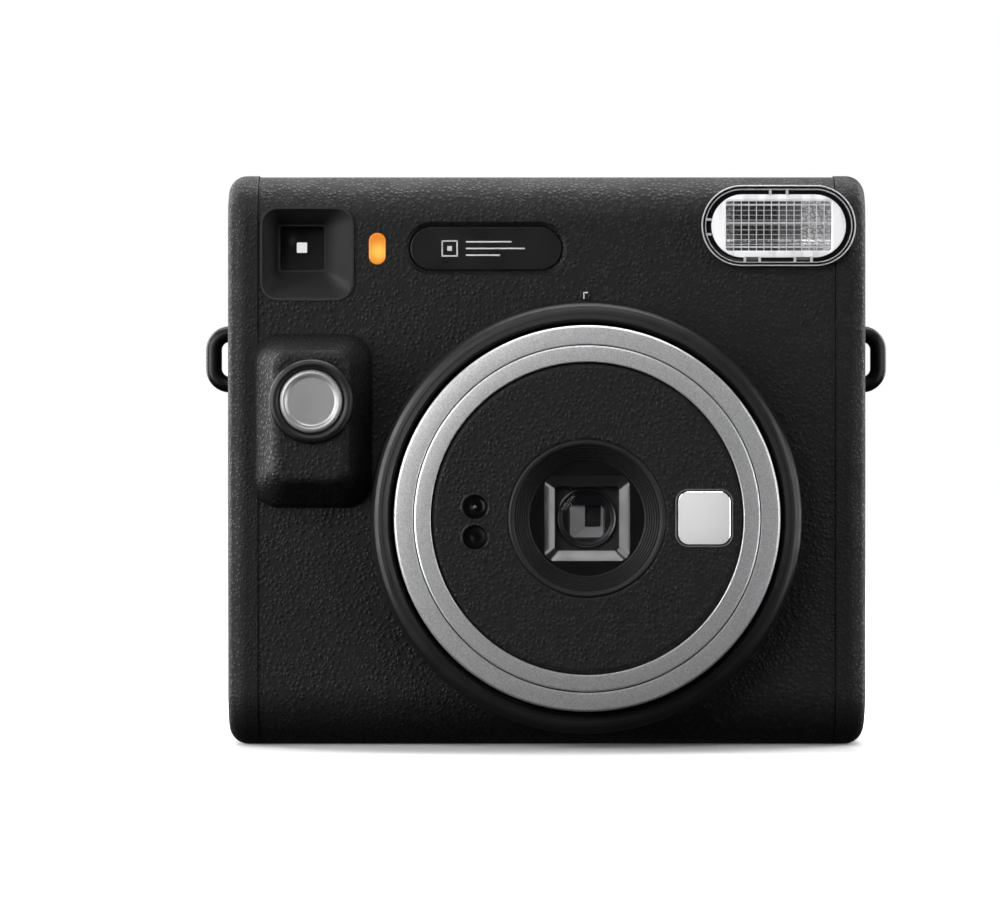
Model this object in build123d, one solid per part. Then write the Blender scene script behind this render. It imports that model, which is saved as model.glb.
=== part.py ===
from build123d import *
import os
from math import atan2, cos, degrees, hypot, pi, radians, sin, sqrt, tan

# Instant camera for square film, in millimetres. +Z up, the lens looks along -Y.
# The origin is at the middle of the footprint, on the surface that the camera stands on.

# ---- driving dimensions ---------------------------------------------------------------
WIDTH = 134.2            # over the two side covers, without the strap lugs
HEIGHT = 120.2
DEPTH = 60.6             # from the lens ring's front edge to the back door
BODY_DEPTH = 44.2        # side covers, front to back
WALL = 2.0
PROUD = 0.25             # side covers stand this far out of the middle shells
SEAM_X = 60.7            # where the middle shells meet the side covers
SEAM_GAP = 0.15
SPLIT_Y = 6.0            # where the front shell meets the rear shell
FRONT_TOP_R, FRONT_BOTTOM_R, REAR_R = 10.0, 12.0, 5.0
SIDE_EDGE_R = 3.9

BACK_Y = DEPTH / 2
SIDE_FRONT_Y = BACK_Y - BODY_DEPTH
FRONT_Y = SIDE_FRONT_Y + PROUD
REAR_Y = BACK_Y - PROUD
FAR = 300.0

# Lens axis and the rings around it.
LENS_X, LENS_Z = 8.2, 48.0
LENS_TRAVEL = 15.0
DIAL_T = 1.3             # thickness of the turning ring's front
DIAL_TURN = 75.0
LIP_R, LIP_BASE_R, LIP_TOP_R = 42.1, 45.4, 44.5
LIP_Y = SIDE_FRONT_Y - 9.2
DIAL_R, TRIM_R, PLATE_R = 40.0, 36.0, 32.3
RING_Y = -DEPTH / 2
DIAL_Y = RING_Y + 0.7
PLATE_Y = RING_Y + 0.35
WALL_BACK_Y = -27.2       # rear of the wall inside the barrel that carries the shutter
HOOD_R = 16.4
HOOD_FLOOR_Y, HOOD_BACK_Y = -26.85, -23.6
LENS_R, SHUTTER_R = 6.35, 21.6
BLADE_X, BLADE_DROP = 9.5, 7.0
SENSOR_X, SENSOR_ZS, SENSOR_R = -15.0, (50.4, 44.1), 2.95
MIRROR = (32.4, 48.1, 10.6, 10.5)
FLANGE_Y = -8.0          # front of the light box's flange, where the cam tube stands
CAM_IN, CAM_OUT = 36.8, 38.5
TUBE_IN, TUBE_OUT = 34.95, 36.5
BARREL_IN, BARREL_OUT = 32.9, 34.7
GUIDE_IN, GUIDE_OUT = 30.2, 32.0
PIN_R, PIN_TIP_R, GROOVE_R = 1.2, 37.6, 37.85
GROOVE_PLAY, GROOVE_STEPS = 0.22, 15
PIN_Y = -11.2
GUIDE_Y, CAM_Y = -26.6, -27.6

# Front features, as centre and size.
FINDER = (-50.35, 103.4, 19.7)
SIGHT_X, SIGHT_Z = -51.6, 104.8    # the finder's optical axis, up and to one side in its frame
LAMP = (-35.6, 104.5, 3.4, 6.5)
PLATE = (-12.8, 104.5, 31.6, 8.9)
FLASH = (48.6, 109.2, 32.4, 17.0)
GRIP = (-49.2, 68.3, 25.0, 36.4)
GRIP_TOP = (-49.1, 69.1, 15.0, 26.8)
GRIP_HEIGHT = 9.0
BUTTON_X, BUTTON_Z, BUTTON_R = -49.1, 72.3, 6.6
COLLAR_R = 8.8
BUTTON_STROKE, STEM_R = 1.2, 2.0
SWITCH_W, SWITCH_H = 6.2, 3.5
LUG_Z, LUG_Y, LUG_BAR_R = 81.6, 6.0, 1.7
LUG_REACH = 72.6

# Film and its path.
FILM_W, FILM_H, FILM_T = 72.0, 86.0, 0.45
FILM_Y, FILM_Z0 = 12.0, 10.0
FILM_X0 = LENS_X - FILM_W / 2
PACK = (79.0, 92.5, 17.4)
PACK_Y0, PACK_Z0 = 10.0, 6.7
CASE_X0, CASE_X1 = LENS_X - PACK[0] / 2 - 1.6, LENS_X + PACK[0] / 2 + 1.6
CHAMBER_Z0, CHAMBER_Z1 = 5.0, 100.3
CHAMBER_Y0, CHAMBER_Y1 = 8.0, 27.5
IMAGE = 63.0
ROLLER_Z, ROLLER_R, ROLLER_GAP = 105.6, 5.0, 0.6
ROLLER_PITCH = 2 * ROLLER_R + ROLLER_GAP
SHAFT_R, BORE_PLAY = 1.5, 0.06
SLOT_W, SLOT_L = 3.4, 75.0

# Back door.
DOOR_X0, DOOR_X1, DOOR_Z0, DOOR_Z1 = -36.5, 53.6, 5.2, 101.4
DOOR_T, DOOR_GAP = 2.2, 0.4
DOOR_WINDOW = (26.0, 78.0, 7.0, 15.0)
HINGE_X, HINGE_Y, KNUCKLE_R, HINGE_PIN_R = 55.6, 28.9, 1.35, 0.7

# Batteries, one above the other, their axes along X.
CELL_R, CELL_L = 7.8, 27.0
CELL_Y, CELL_ZS = 12.2, (20.0, 37.0)
CELL_X0 = -63.9
COVER_Y0, COVER_Z0, COVER_Z1 = 1.0, 9.4, 47.6
COVER_PIN_X, COVER_PIN_Y, COVER_PIN_R = -66.0, 24.5, 0.7
COVER_GAP, COVER_SWING_ROOM = 0.2, 1.7

# Gear train: two planes beside the film chamber.
PLANES = ((50.3, 52.1), (52.7, 54.5))
ROLLER_TEETH, IDLER_SMALL, IDLER_BIG, PINION = 16, 12, 36, 10
ROLLER_M = ROLLER_PITCH / ROLLER_TEETH
MOTOR_M = 0.5
MOTOR_YZ = (-1.6, 91.8)
MOTOR_R, MOTOR_X0, MOTOR_X1 = 7.0, 31.6, 48.6
AXLE_R = 1.0

COUNTER_X, COUNTER_Z, COUNTER_R = -51.5, 80.5, 8.0
LATCH_X, LATCH_Z, LATCH_TRAVEL = -41.2, 56.0, 5.0
PLATE_PEG_X, PLATE_PEG_R = 9.0, 0.8
BOARD_Y, BOARD_T = 1.2, 1.6
BOARD_POSTS = ((-57.0, 53.0), (-37.5, 53.0), (-38.2, 98.5))
SCREW_PLACES = ((-45.0, -1.0), (45.0, -1.0), (-45.0, 20.0), (45.0, 20.0))

parts = {}


# ---- helpers --------------------------------------------------------------------------
def block(x0, x1, y0, y1, z0, z1):
    """A box between two corners."""
    return Pos((x0 + x1) / 2, (y0 + y1) / 2, (z0 + z1) / 2) * Box(x1 - x0, y1 - y0, z1 - z0)


def rod_y(r, y0, y1, x=LENS_X, z=LENS_Z):
    """A cylinder along Y."""
    return Pos(x, (y0 + y1) / 2, z) * Rot(90, 0, 0) * Cylinder(r, y1 - y0)


def rod_x(r, x0, x1, y, z):
    """A cylinder along X."""
    return Pos((x0 + x1) / 2, y, z) * Rot(0, 90, 0) * Cylinder(r, x1 - x0)


def rod_z(r, z0, z1, x, y):
    """A cylinder along Z."""
    return Pos(x, y, (z0 + z1) / 2) * Cylinder(r, z1 - z0)


def tube_y(r_in, r_out, y0, y1, x=LENS_X, z=LENS_Z):
    """A tube along Y."""
    return rod_y(r_out, y0, y1, x, z) - rod_y(r_in, y0 - 1, y1 + 1, x, z)


def plate_y(outline, x, z, y0, y1, taper=0.0):
    """A flat outline, seen from the front, thickened from y0 back to y1. A taper narrows it to the front."""
    return Pos(x, y1, z) * extrude(Plane.XZ * outline, amount=y1 - y0, taper=taper)


def prism_y(w, h, r, x, z, y0, y1, taper=0.0):
    """A rectangle with round corners as a prism along Y."""
    return plate_y(RectangleRounded(w, h, r), x, z, y0, y1, taper)


def pill_y(w, h, x, z, y0, y1, taper=0.0):
    """A slot shape, longer along X or along Z, as a prism along Y."""
    return prism_y(w, h, min(w, h) / 2 - 0.01, x, z, y0, y1, taper)


def taper_y(x, z, y0, front, y1, back, back_x=None, back_z=None):
    """A solid between two rectangles with round corners, each given as width, height and corner radius."""
    front_face = Plane.XZ.offset(-y0) * Pos(x, z) * RectangleRounded(*front)
    back_x = x if back_x is None else back_x
    back_z = z if back_z is None else back_z
    back_face = Plane.XZ.offset(-y1) * Pos(back_x, back_z) * RectangleRounded(*back)
    return loft([front_face, back_face])


def turned(points, x=LENS_X, z=LENS_Z):
    """A profile of (radius, y) points turned about an axis along Y."""
    return Pos(x, 0, z) * revolve(make_face(Polyline(*points, close=True)), Axis.Y)


def spin(shape, angle, x=LENS_X, z=LENS_Z):
    """The shape turned about an axis along Y."""
    return shape.rotate(Axis((x, 0, z), (0, 1, 0)), angle)


def edges_at(shape, axis, value, tol=0.05):
    """The edges that lie in a plane across an axis."""
    index = {Axis.X: 0, Axis.Y: 1, Axis.Z: 2}[axis]
    found = []
    for edge in shape.edges():
        box = edge.bounding_box()
        if abs(tuple(box.min)[index] - value) < tol and abs(tuple(box.max)[index] - value) < tol:
            found.append(edge)
    return found


def group(*solids):
    """Separate solids kept in one node."""
    return Compound(children=[s for one in solids for s in one.solids()])


def body_outline(y0, y1, z0, z1, inset=0.0):
    """The camera's side view, with its round edges."""
    base = Plane.YZ * Pos((y0 + y1) / 2, (z0 + z1) / 2) * Rectangle(y1 - y0, z1 - z0)
    corners = {(-1, 1): FRONT_TOP_R, (-1, -1): FRONT_BOTTOM_R, (1, 1): REAR_R, (1, -1): REAR_R}
    for (side, level), radius in corners.items():
        y, z = (y0 if side < 0 else y1), (z0 if level < 0 else z1)
        corner = [v for v in base.vertices() if abs(v.Y - y) < 0.01 and abs(v.Z - z) < 0.01]
        base = fillet(corner, radius)
    return offset(base, amount=-inset) if inset else base


def middle_solid(inset=0.0):
    """The whole middle section between the side covers."""
    face = body_outline(FRONT_Y, REAR_Y, 0, HEIGHT - PROUD, inset)
    reach = SEAM_X - SEAM_GAP
    return Pos(-reach, 0, 0) * extrude(face, amount=2 * reach)


def gear(module, teeth, x0, x1, yz, phase, bore, slack=0.13):
    """A spur gear along X. The phase is the angle of one tooth's middle, from +Y towards +Z."""
    pitch_r = module * teeth / 2
    base_r = pitch_r * cos(radians(20))
    tip_r, root_r = pitch_r + 0.9 * module, pitch_r - 1.2 * module
    half = pi / 2 / teeth - slack / 2 / pitch_r + tan(radians(20)) - radians(20)
    flank = []
    steps = 4
    for i in range(steps + 1):
        r = max(base_r, root_r) + (tip_r - max(base_r, root_r)) * i / steps
        roll = sqrt(max((r / base_r) ** 2 - 1, 0))
        flank.append((r, half - (roll - atan2(roll, 1))))
    points = []
    for k in range(teeth):
        middle = phase + 2 * pi * k / teeth
        points.append((root_r, middle - half))
        points += [(r, middle - a) for r, a in flank]
        points += [(r, middle + a) for r, a in reversed(flank)]
        points.append((root_r, middle + half))
    y, z = yz
    outline = Polyline(*[(y + r * cos(a), z + r * sin(a)) for r, a in points], close=True)
    solid = Pos(x0, 0, 0) * extrude(Plane.YZ * make_face(outline), amount=x1 - x0)
    return solid - rod_x(bore, x0 - 1, x1 + 1, y, z) if bore else solid


def meshing(from_yz, from_phase, from_r, to_yz, to_r, to_teeth):
    """The phase of a gear that meshes with another whose phase is known."""
    towards = atan2(to_yz[1] - from_yz[1], to_yz[0] - from_yz[0])
    return towards + pi - (from_phase - towards) * from_r / to_r + pi / to_teeth


def meet(a, ra, b, rb, side):
    """The point at distance ra from a and rb from b."""
    dy, dz = b[0] - a[0], b[1] - a[1]
    d = hypot(dy, dz)
    along = (ra * ra - rb * rb + d * d) / 2 / d
    up = side * sqrt(ra * ra - along * along)
    return (a[0] + (along * dy - up * dz) / d, a[1] + (along * dz + up * dy) / d)


def coil(radius, wire, length, turns, x, z, y0):
    """A compression spring along Y that starts at y0."""
    pitch = (length - wire) / turns
    path = Helix(pitch, length - wire, radius)
    start = path @ 0
    section = Plane(start, z_dir=path % 0) * Circle(wire / 2)
    spring = sweep(section, path=path)
    return Pos(x, y0 + wire / 2, z) * Rot(-90, 0, 0) * spring


REAR_ROLLER_YZ = (FILM_Y + ROLLER_PITCH / 2, ROLLER_Z)
FRONT_ROLLER_YZ = (FILM_Y - ROLLER_PITCH / 2, ROLLER_Z)
IDLER_YZ = meet(FRONT_ROLLER_YZ, ROLLER_M * (ROLLER_TEETH + IDLER_SMALL) / 2,
                MOTOR_YZ, MOTOR_M * (PINION + IDLER_BIG) / 2, 1)


# ---- outer shells ---------------------------------------------------------------------
def make_front_cover():
    shell = middle_solid() - middle_solid(WALL)
    shell = shell & block(-FAR, FAR, -FAR, SPLIT_Y - 0.05, -FAR, FAR)
    lip = turned([(LIP_R, LIP_Y + 1.0), (LIP_R + 0.7, LIP_Y + 0.12), (LIP_R + 1.3, LIP_Y),
                  (LIP_TOP_R - 1.0, LIP_Y + 0.12), (LIP_TOP_R - 0.35, LIP_Y + 0.5),
                  (LIP_TOP_R, LIP_Y + 1.3), (LIP_BASE_R, FRONT_Y), (LIP_BASE_R, FLANGE_Y),
                  (LIP_R, FLANGE_Y)])
    shell = shell - rod_y(LIP_R + 1.0, -FAR, SPLIT_Y - 2) + lip
    shell -= rod_y(LIP_R, -FAR, SPLIT_Y - 2)
    shell -= block(-FAR, FAR, SIDE_FRONT_Y - 1, SPLIT_Y, -FAR, 0)
    x, z, size = FINDER
    shell -= prism_y(size + 0.1, size + 0.1, 3.85, x, z, FRONT_Y - 1, FRONT_Y + 5)
    x, z, w, h = LAMP
    shell -= pill_y(w + 0.2, h + 0.2, x, z, FRONT_Y - 1, FRONT_Y + 5)
    x, z, w, h = PLATE
    mouth, floor = (w + 2.4, h + 2.4, h / 2 + 1.1), (w + 0.1, h + 0.1, h / 2)
    shell -= taper_y(x, z, FRONT_Y - 0.01, mouth, FRONT_Y + 1.1, floor)
    x, z, w, h = FLASH
    shell -= pill_y(w + 0.3, h + 0.3, x, z, -FAR, SPLIT_Y - 1)
    shell -= rod_y(3.0, FRONT_Y - 1, FRONT_Y + 5, BUTTON_X, BUTTON_Z)
    for dx in (-PLATE_PEG_X, PLATE_PEG_X):
        shell -= rod_y(PLATE_PEG_R, FRONT_Y, FRONT_Y + 1.7, PLATE[0] + dx, PLATE[1])
    for x, z in BOARD_POSTS:
        shell += rod_y(1.9, FRONT_Y + WALL - 0.1, BOARD_Y, x, z)
    mark = rod_y(1.15, FRONT_Y - 0.3, FRONT_Y + 0.5, LENS_X, 94.6)
    return shell + fillet(edges_at(mark, Axis.Y, FRONT_Y - 0.3), 0.2)


def make_side_cover(side):
    """The left (-1) or right (1) end cap, seen from the front."""
    outer = extrude(body_outline(SIDE_FRONT_Y, BACK_Y, 0, HEIGHT), amount=WIDTH / 2 - SEAM_X)
    outer = fillet(edges_at(outer, Axis.X, WIDTH / 2 - SEAM_X), SIDE_EDGE_R)
    inner = extrude(body_outline(SIDE_FRONT_Y, BACK_Y, 0, HEIGHT, WALL), amount=WIDTH / 2 - SEAM_X - WALL)
    cap = Pos(SEAM_X, 0, 0) * (outer - inner)
    pad_x = WIDTH / 2 - WALL
    cap += block(pad_x - 2.4, pad_x + 0.5, LUG_Y - 9.5, LUG_Y + 9.5, LUG_Z - 10, LUG_Z + 10)
    scoop = Pos(WIDTH / 2 + 6.9, LUG_Y, LUG_Z) * Cylinder(9.5, 10.6)
    cap = cap - scoop - make_lug(1)
    if side < 0:
        cap = mirror(cap, about=Plane.YZ)
        cap -= block(-FAR, 1 + WALL - WIDTH / 2, COVER_Y0 - COVER_GAP, COVER_PIN_Y + COVER_SWING_ROOM,
                     COVER_Z0 - COVER_GAP, COVER_Z1 + COVER_GAP)
        cap -= rod_z(COVER_PIN_R + BORE_PLAY, COVER_Z0 - 1.3, COVER_Z1 + 1.3, COVER_PIN_X, COVER_PIN_Y)
    else:
        x, z, w, h = FLASH
        cap -= pill_y(w + 0.3, h + 0.3, x, z, -FAR, SPLIT_Y - 1)
    return cap


def make_rear_cover():
    shell = middle_solid() - middle_solid(WALL)
    shell = shell & block(-FAR, FAR, SPLIT_Y + 0.05, FAR, -FAR, FAR)
    shell -= block(DOOR_X0 - DOOR_GAP, HINGE_X + 2.2, REAR_Y - WALL - 1, FAR,
                   DOOR_Z0 - DOOR_GAP, DOOR_Z1 + DOOR_GAP)
    shell -= prism_y(11.1, 11.1, 2.5, SIGHT_X, SIGHT_Z, REAR_Y - WALL - 1, REAR_Y + 1)
    shell -= prism_y(7.1, 5.1, 1.0, COUNTER_X, COUNTER_Z + 5.2, REAR_Y - WALL - 1, REAR_Y + 1)
    shell -= prism_y(6.6, 18.6, 2.0, LATCH_X, LATCH_Z, REAR_Y - 1.0, REAR_Y + 1)
    shell -= prism_y(3.2, 13.0, 1.0, LATCH_X, LATCH_Z, REAR_Y - WALL - 1, REAR_Y + 1)
    shell += rod_y(AXLE_R, 23.6, REAR_Y - WALL + 0.1, COUNTER_X, COUNTER_Z)
    x0, x1, top = LENS_X - SLOT_L / 2, LENS_X + SLOT_L / 2, HEIGHT - PROUD
    frame = block(x0 - 2.4, x1 + 2.4, FILM_Y - 3.9, FILM_Y + 3.9, top - 2.6, top + 0.15)
    shell += fillet(edges_at(frame, Axis.Z, top + 0.15), 0.12)
    shell -= block(x0, x1, FILM_Y - SLOT_W / 2, FILM_Y + SLOT_W / 2, top - 5, top + 5)
    for z0, z1 in hinge_spans(1):
        shell += rod_z(KNUCKLE_R, z0, z1, HINGE_X, HINGE_Y)
        shell += block(HINGE_X, HINGE_X + 2.6, HINGE_Y - KNUCKLE_R, HINGE_Y - 0.15, z0, z1)
        shell -= rod_z(HINGE_PIN_R + 0.04, z0 - 0.01, z1 + 0.01, HINGE_X, HINGE_Y)
    return shell


def hinge_spans(kind):
    """Heights of the hinge knuckles: 0 for the door's, 1 for the rear cover's."""
    length = (DOOR_Z1 - DOOR_Z0) / 5
    spans = []
    for i in range(5):
        if i % 2 == kind:
            spans.append((DOOR_Z0 + i * length + 0.15, DOOR_Z0 + (i + 1) * length - 0.15))
    return spans


def make_felt():
    x0, x1 = LENS_X - SLOT_L / 2, LENS_X + SLOT_L / 2
    top = HEIGHT - PROUD
    gap = 0.5
    front = block(x0, x1, FILM_Y - SLOT_W / 2, FILM_Y - gap, top - 2.4, top - 1.1)
    rear = block(x0, x1, FILM_Y + gap, FILM_Y + SLOT_W / 2, top - 2.4, top - 1.1)
    return group(front, rear)


# ---- front details --------------------------------------------------------------------
def make_viewfinder(out):
    """The finder's square mouth, both its lenses and the dark tunnel between them."""
    x, z, size = FINDER
    ax, az = SIGHT_X, SIGHT_Z
    front, back = SIDE_FRONT_Y - 0.1, -6.0
    throat, seat = 9.3, 11.0
    neck, mouth, waist = seat + 2.6, size - 0.9, throat + 0.6
    body = prism_y(size, size, 3.8, x, z, front, front + 2.0)
    body += taper_y(x, z, front + 2.0, (size, size, 3.8), front + 8.5, (neck, neck, 1.5), ax, az)
    body += prism_y(neck, neck, 1.5, ax, az, front + 8.4, back + 3.0)
    funnel = taper_y(x, z, front, (mouth, mouth, 3.4), front + 7.0, (waist, waist, 0.8), ax, az)
    body = body - funnel - prism_y(throat, throat, 0.6, ax, az, front + 1.0, back + 4)
    body -= prism_y(seat, seat, 1.0, ax, az, back + 0.6, back + 4)
    out["viewfinder_bezel"] = body
    front_lens = prism_y(seat - 0.1, seat - 0.1, 0.95, ax, az, back + 0.7, back + 2.6)
    front_lens -= Pos(ax, back + 2.6 + 13.2, az) * Sphere(14.0)
    eye_lens = prism_y(seat + 0.3, seat + 0.3, 0.5, ax, az, 21.8, 24.9) & Pos(ax, 24.9 - 38.0, az) * Sphere(38.0)
    out["viewfinder_lenses"] = group(front_lens, eye_lens)
    tunnel = prism_y(seat + 3.0, seat + 3.0, 1.0, ax, az, back + 3.1, 26.6)
    tunnel += prism_y(seat, seat, 2.4, ax, az, 26.5, REAR_Y + 0.2)
    tunnel -= prism_y(seat + 0.4, seat + 0.4, 0.6, ax, az, back + 3.7, 24.9)
    tunnel -= prism_y(7.4, 7.4, 1.2, ax, az, 24.0, BACK_Y + 2)
    tunnel -= prism_y(2.2, 2.2, 0.2, ax - 0.2, az + 0.3, back + 3.0, back + 4.0)
    out["viewfinder_tunnel"] = tunnel


def make_lamp():
    """The indicator's window, moulded with the light pipe that runs back to the circuit board."""
    x, z, w, h = LAMP
    window = pill_y(w, h, x, z, FRONT_Y - 0.35, FRONT_Y + 2.0)
    window = fillet(edges_at(window, Axis.Y, FRONT_Y - 0.35), 0.3)
    window += pill_y(w + 1.6, h + 1.6, x, z, FRONT_Y + 2.0, FRONT_Y + 2.8)
    return window + pill_y(2.4, 3.6, x, z, FRONT_Y + 2.7, BOARD_Y - 1.2)


def make_nameplate():
    x, z, w, h = PLATE
    plate = prism_y(w, h, h / 2 - 0.05, x, z, FRONT_Y + 0.45, FRONT_Y + 1.1)
    plate = fillet(edges_at(plate, Axis.Y, FRONT_Y + 0.45), 0.15)
    for dx in (-PLATE_PEG_X, PLATE_PEG_X):
        plate += rod_y(PLATE_PEG_R, FRONT_Y + 1.05, FRONT_Y + 1.6, x + dx, z)
    return plate


def make_flash(out):
    x, z, w, h = FLASH
    front = SIDE_FRONT_Y - 1.6
    window = pill_y(w, h, x, z, front, front + 1.6)
    window = fillet(edges_at(window, Axis.Y, front), 0.9)
    rim = pill_y(w, h, x, z, front + 1.5, front + 5.2)
    rim -= pill_y(w - 2.2, h - 2.2, x, z, front + 1.4, front + 5.3)
    out["flash_window"] = window + rim
    bowl = pill_y(w - 4.2, h - 3.8, x, z, front + 1.9, front + 9.5, 0)
    hollow = taper_y(x, z, front + 1.8, (w - 5.4, h - 5.0, 5.9), front + 8.9, (w - 10.6, 4.4, 1.6))
    bowl = bowl - hollow - rod_x(1.45, x - w / 2, x + w / 2, front + 7.4, z)
    out["flash_reflector"] = bowl
    lamp = rod_x(1.25, x - 13.6, x + 13.6, front + 7.4, z)
    out["flash_tube"] = fillet(lamp.edges(), 0.3)
    case = pill_y(w - 0.4, h - 0.4, x, z, front + 5.2, front + 11.6)
    case -= pill_y(w - 4.0, h - 3.6, x, z, front + 1.0, front + 9.6)
    case -= rod_x(1.6, x - 14.0, x + 14.0, front + 7.4, z)
    out["flash_housing"] = case


def make_shutter_release(out):
    x, z, w, h = GRIP
    tx, tz, tw, th = GRIP_TOP
    base_y, top_y = SIDE_FRONT_Y, SIDE_FRONT_Y - GRIP_HEIGHT
    levels = [(0.0, w, h, 5.5, x, z), (0.22, w - 1.6, h - 1.6, 5.2, x - 0.05, z), (1.0, tw, th, 3.4, tx, tz)]
    faces = []
    for share, level_w, level_h, corner, cx, cz in levels:
        plane = Plane.XZ.offset(-(base_y - share * GRIP_HEIGHT))
        faces.append(plane * Pos(cx, cz) * RectangleRounded(level_w, level_h, corner))
    hump = loft(faces, ruled=True)
    hump = fillet(edges_at(hump, Axis.Y, top_y), 2.2)
    hump -= rod_y(COLLAR_R + 0.05, top_y - 5, base_y - 1.6, BUTTON_X, BUTTON_Z)
    hump -= rod_y(3.0, top_y - 5, base_y + 1, BUTTON_X, BUTTON_Z)
    out["shutter_housing"] = hump
    crest = top_y - 1.5
    collar = turned([(BUTTON_R + 0.12, crest + 1.6), (BUTTON_R + 0.75, crest + 0.35),
                     (BUTTON_R + 1.15, crest + 0.02), (BUTTON_R + 1.55, crest + 0.12),
                     (COLLAR_R - 0.15, crest + 1.3), (COLLAR_R, crest + 2.0),
                     (COLLAR_R, base_y - 1.7), (STEM_R + 0.3, base_y - 1.7), (STEM_R + 0.3, base_y - 3.0),
                     (BUTTON_R + 0.12, base_y - 3.0)], BUTTON_X, BUTTON_Z)
    out["button_collar"] = collar
    face = crest + 0.15
    stem_y = BOARD_Y - SWITCH_H - BUTTON_STROKE - 0.1
    button = turned([(0, face + 0.55), (BUTTON_R - 1.75, face + 0.55), (BUTTON_R - 1.45, face + 0.42),
                     (BUTTON_R - 1.1, face + 0.1), (BUTTON_R - 0.75, face), (BUTTON_R - 0.4, face + 0.1),
                     (BUTTON_R - 0.12, face + 0.4), (BUTTON_R, face + 0.9), (BUTTON_R, face + 4.2),
                     (STEM_R, face + 4.2), (STEM_R, stem_y), (0, stem_y)], BUTTON_X, BUTTON_Z)
    out["shutter_button"] = button
    spring_y = face + 4.25
    out["button_spring"] = coil(3.3, 0.45, base_y - 3.05 - spring_y, 4, BUTTON_X, BUTTON_Z, spring_y)


def make_lug(side):
    half = 7.1 - LUG_BAR_R
    out_x, in_x, corner = LUG_REACH - LUG_BAR_R, WIDTH / 2 - WALL - 2.2, 3.4
    path = FilletPolyline((in_x, LUG_Y, LUG_Z + half), (out_x, LUG_Y, LUG_Z + half),
                          (out_x, LUG_Y, LUG_Z - half), (in_x, LUG_Y, LUG_Z - half), radius=corner)
    bar = sweep(Plane(path @ 0, z_dir=path % 0) * Circle(LUG_BAR_R), path=path)
    return mirror(bar, about=Plane.YZ) if side < 0 else bar


# ---- lens barrel ----------------------------------------------------------------------
def make_light_box():
    """The duct behind the lens, its flange and the guide tube with three straight grooves."""
    half = IMAGE / 2 + 2.0
    duct = block(LENS_X - half, LENS_X + half, FLANGE_Y, CHAMBER_Y0, LENS_Z - half, LENS_Z + half)
    inside = half - 1.6
    duct -= block(LENS_X - inside, LENS_X + inside, FLANGE_Y + 1.5, CHAMBER_Y0 + 1,
                  LENS_Z - inside, LENS_Z + inside)
    duct += rod_y(LIP_R + 1.1, FLANGE_Y, FLANGE_Y + 1.5)
    duct += rod_y(GUIDE_OUT, GUIDE_Y, FLANGE_Y + 1.0)
    duct -= rod_y(GUIDE_IN, -FAR, FLANGE_Y + 3.0)
    for k in range(3):
        groove = block(LENS_X - 1.6, LENS_X + 1.6, GUIDE_Y - 1, FLANGE_Y,
                       LENS_Z + GUIDE_OUT - 1.0, LENS_Z + GUIDE_OUT + 1)
        duct -= spin(groove, 60 + 120 * k)
    return duct


def make_cam_tube():
    """The fixed tube whose three helical grooves push the lens out as its ring is turned."""
    tube = tube_y(CAM_IN, CAM_OUT, CAM_Y, FLANGE_Y)
    width = 2 * (PIN_R + GROOVE_PLAY)
    rise = LENS_TRAVEL / GROOVE_STEPS
    run = GROOVE_R * radians(DIAL_TURN / GROOVE_STEPS)
    slope = degrees(atan2(rise, run))
    ends = Cylinder(width / 2, GROOVE_R)
    link = Rot(0, 0, slope) * Box(hypot(rise, run), width - 0.12, GROOVE_R + 0.1)
    cuts = []
    for i in range(2 * GROOVE_STEPS + 1):
        share = i / 2 / GROOVE_STEPS
        cut = link if i % 2 else ends
        place = Pos(LENS_X, PIN_Y - share * LENS_TRAVEL, LENS_Z + GROOVE_R / 2)
        cuts.append(spin(place * cut, -share * DIAL_TURN))
    for k in range(3):
        tube -= [spin(cut, 120 * k) for cut in cuts]
    return tube


def make_dial():
    """The silver turning ring with its tube and three cam pins."""
    ring = turned([(TRIM_R, DIAL_Y + 0.25), (TRIM_R + 0.25, DIAL_Y + 0.05), (TRIM_R + 2.0, DIAL_Y + 0.22),
                   (DIAL_R - 0.75, DIAL_Y), (DIAL_R - 0.3, DIAL_Y + 0.08), (DIAL_R - 0.06, DIAL_Y + 0.35),
                   (DIAL_R, DIAL_Y + 0.8), (DIAL_R, -21.2), (DIAL_R - 0.25, -21.0), (DIAL_R - 1.1, -21.0),
                   (DIAL_R - 1.1, DIAL_Y + DIAL_T), (TRIM_R, DIAL_Y + DIAL_T)])
    tube = tube_y(TUBE_IN, TUBE_OUT, DIAL_Y + DIAL_T, -9.25)
    pins = []
    for k in range(3):
        pin = rod_z(PIN_R, LENS_Z + TUBE_IN + 0.6, LENS_Z + PIN_TIP_R, LENS_X, PIN_Y)
        pins.append(spin(pin, 120 * k))
    tube += pins
    tube -= rod_y(TUBE_IN, -28.0, -9.0)
    return ring, tube


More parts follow.
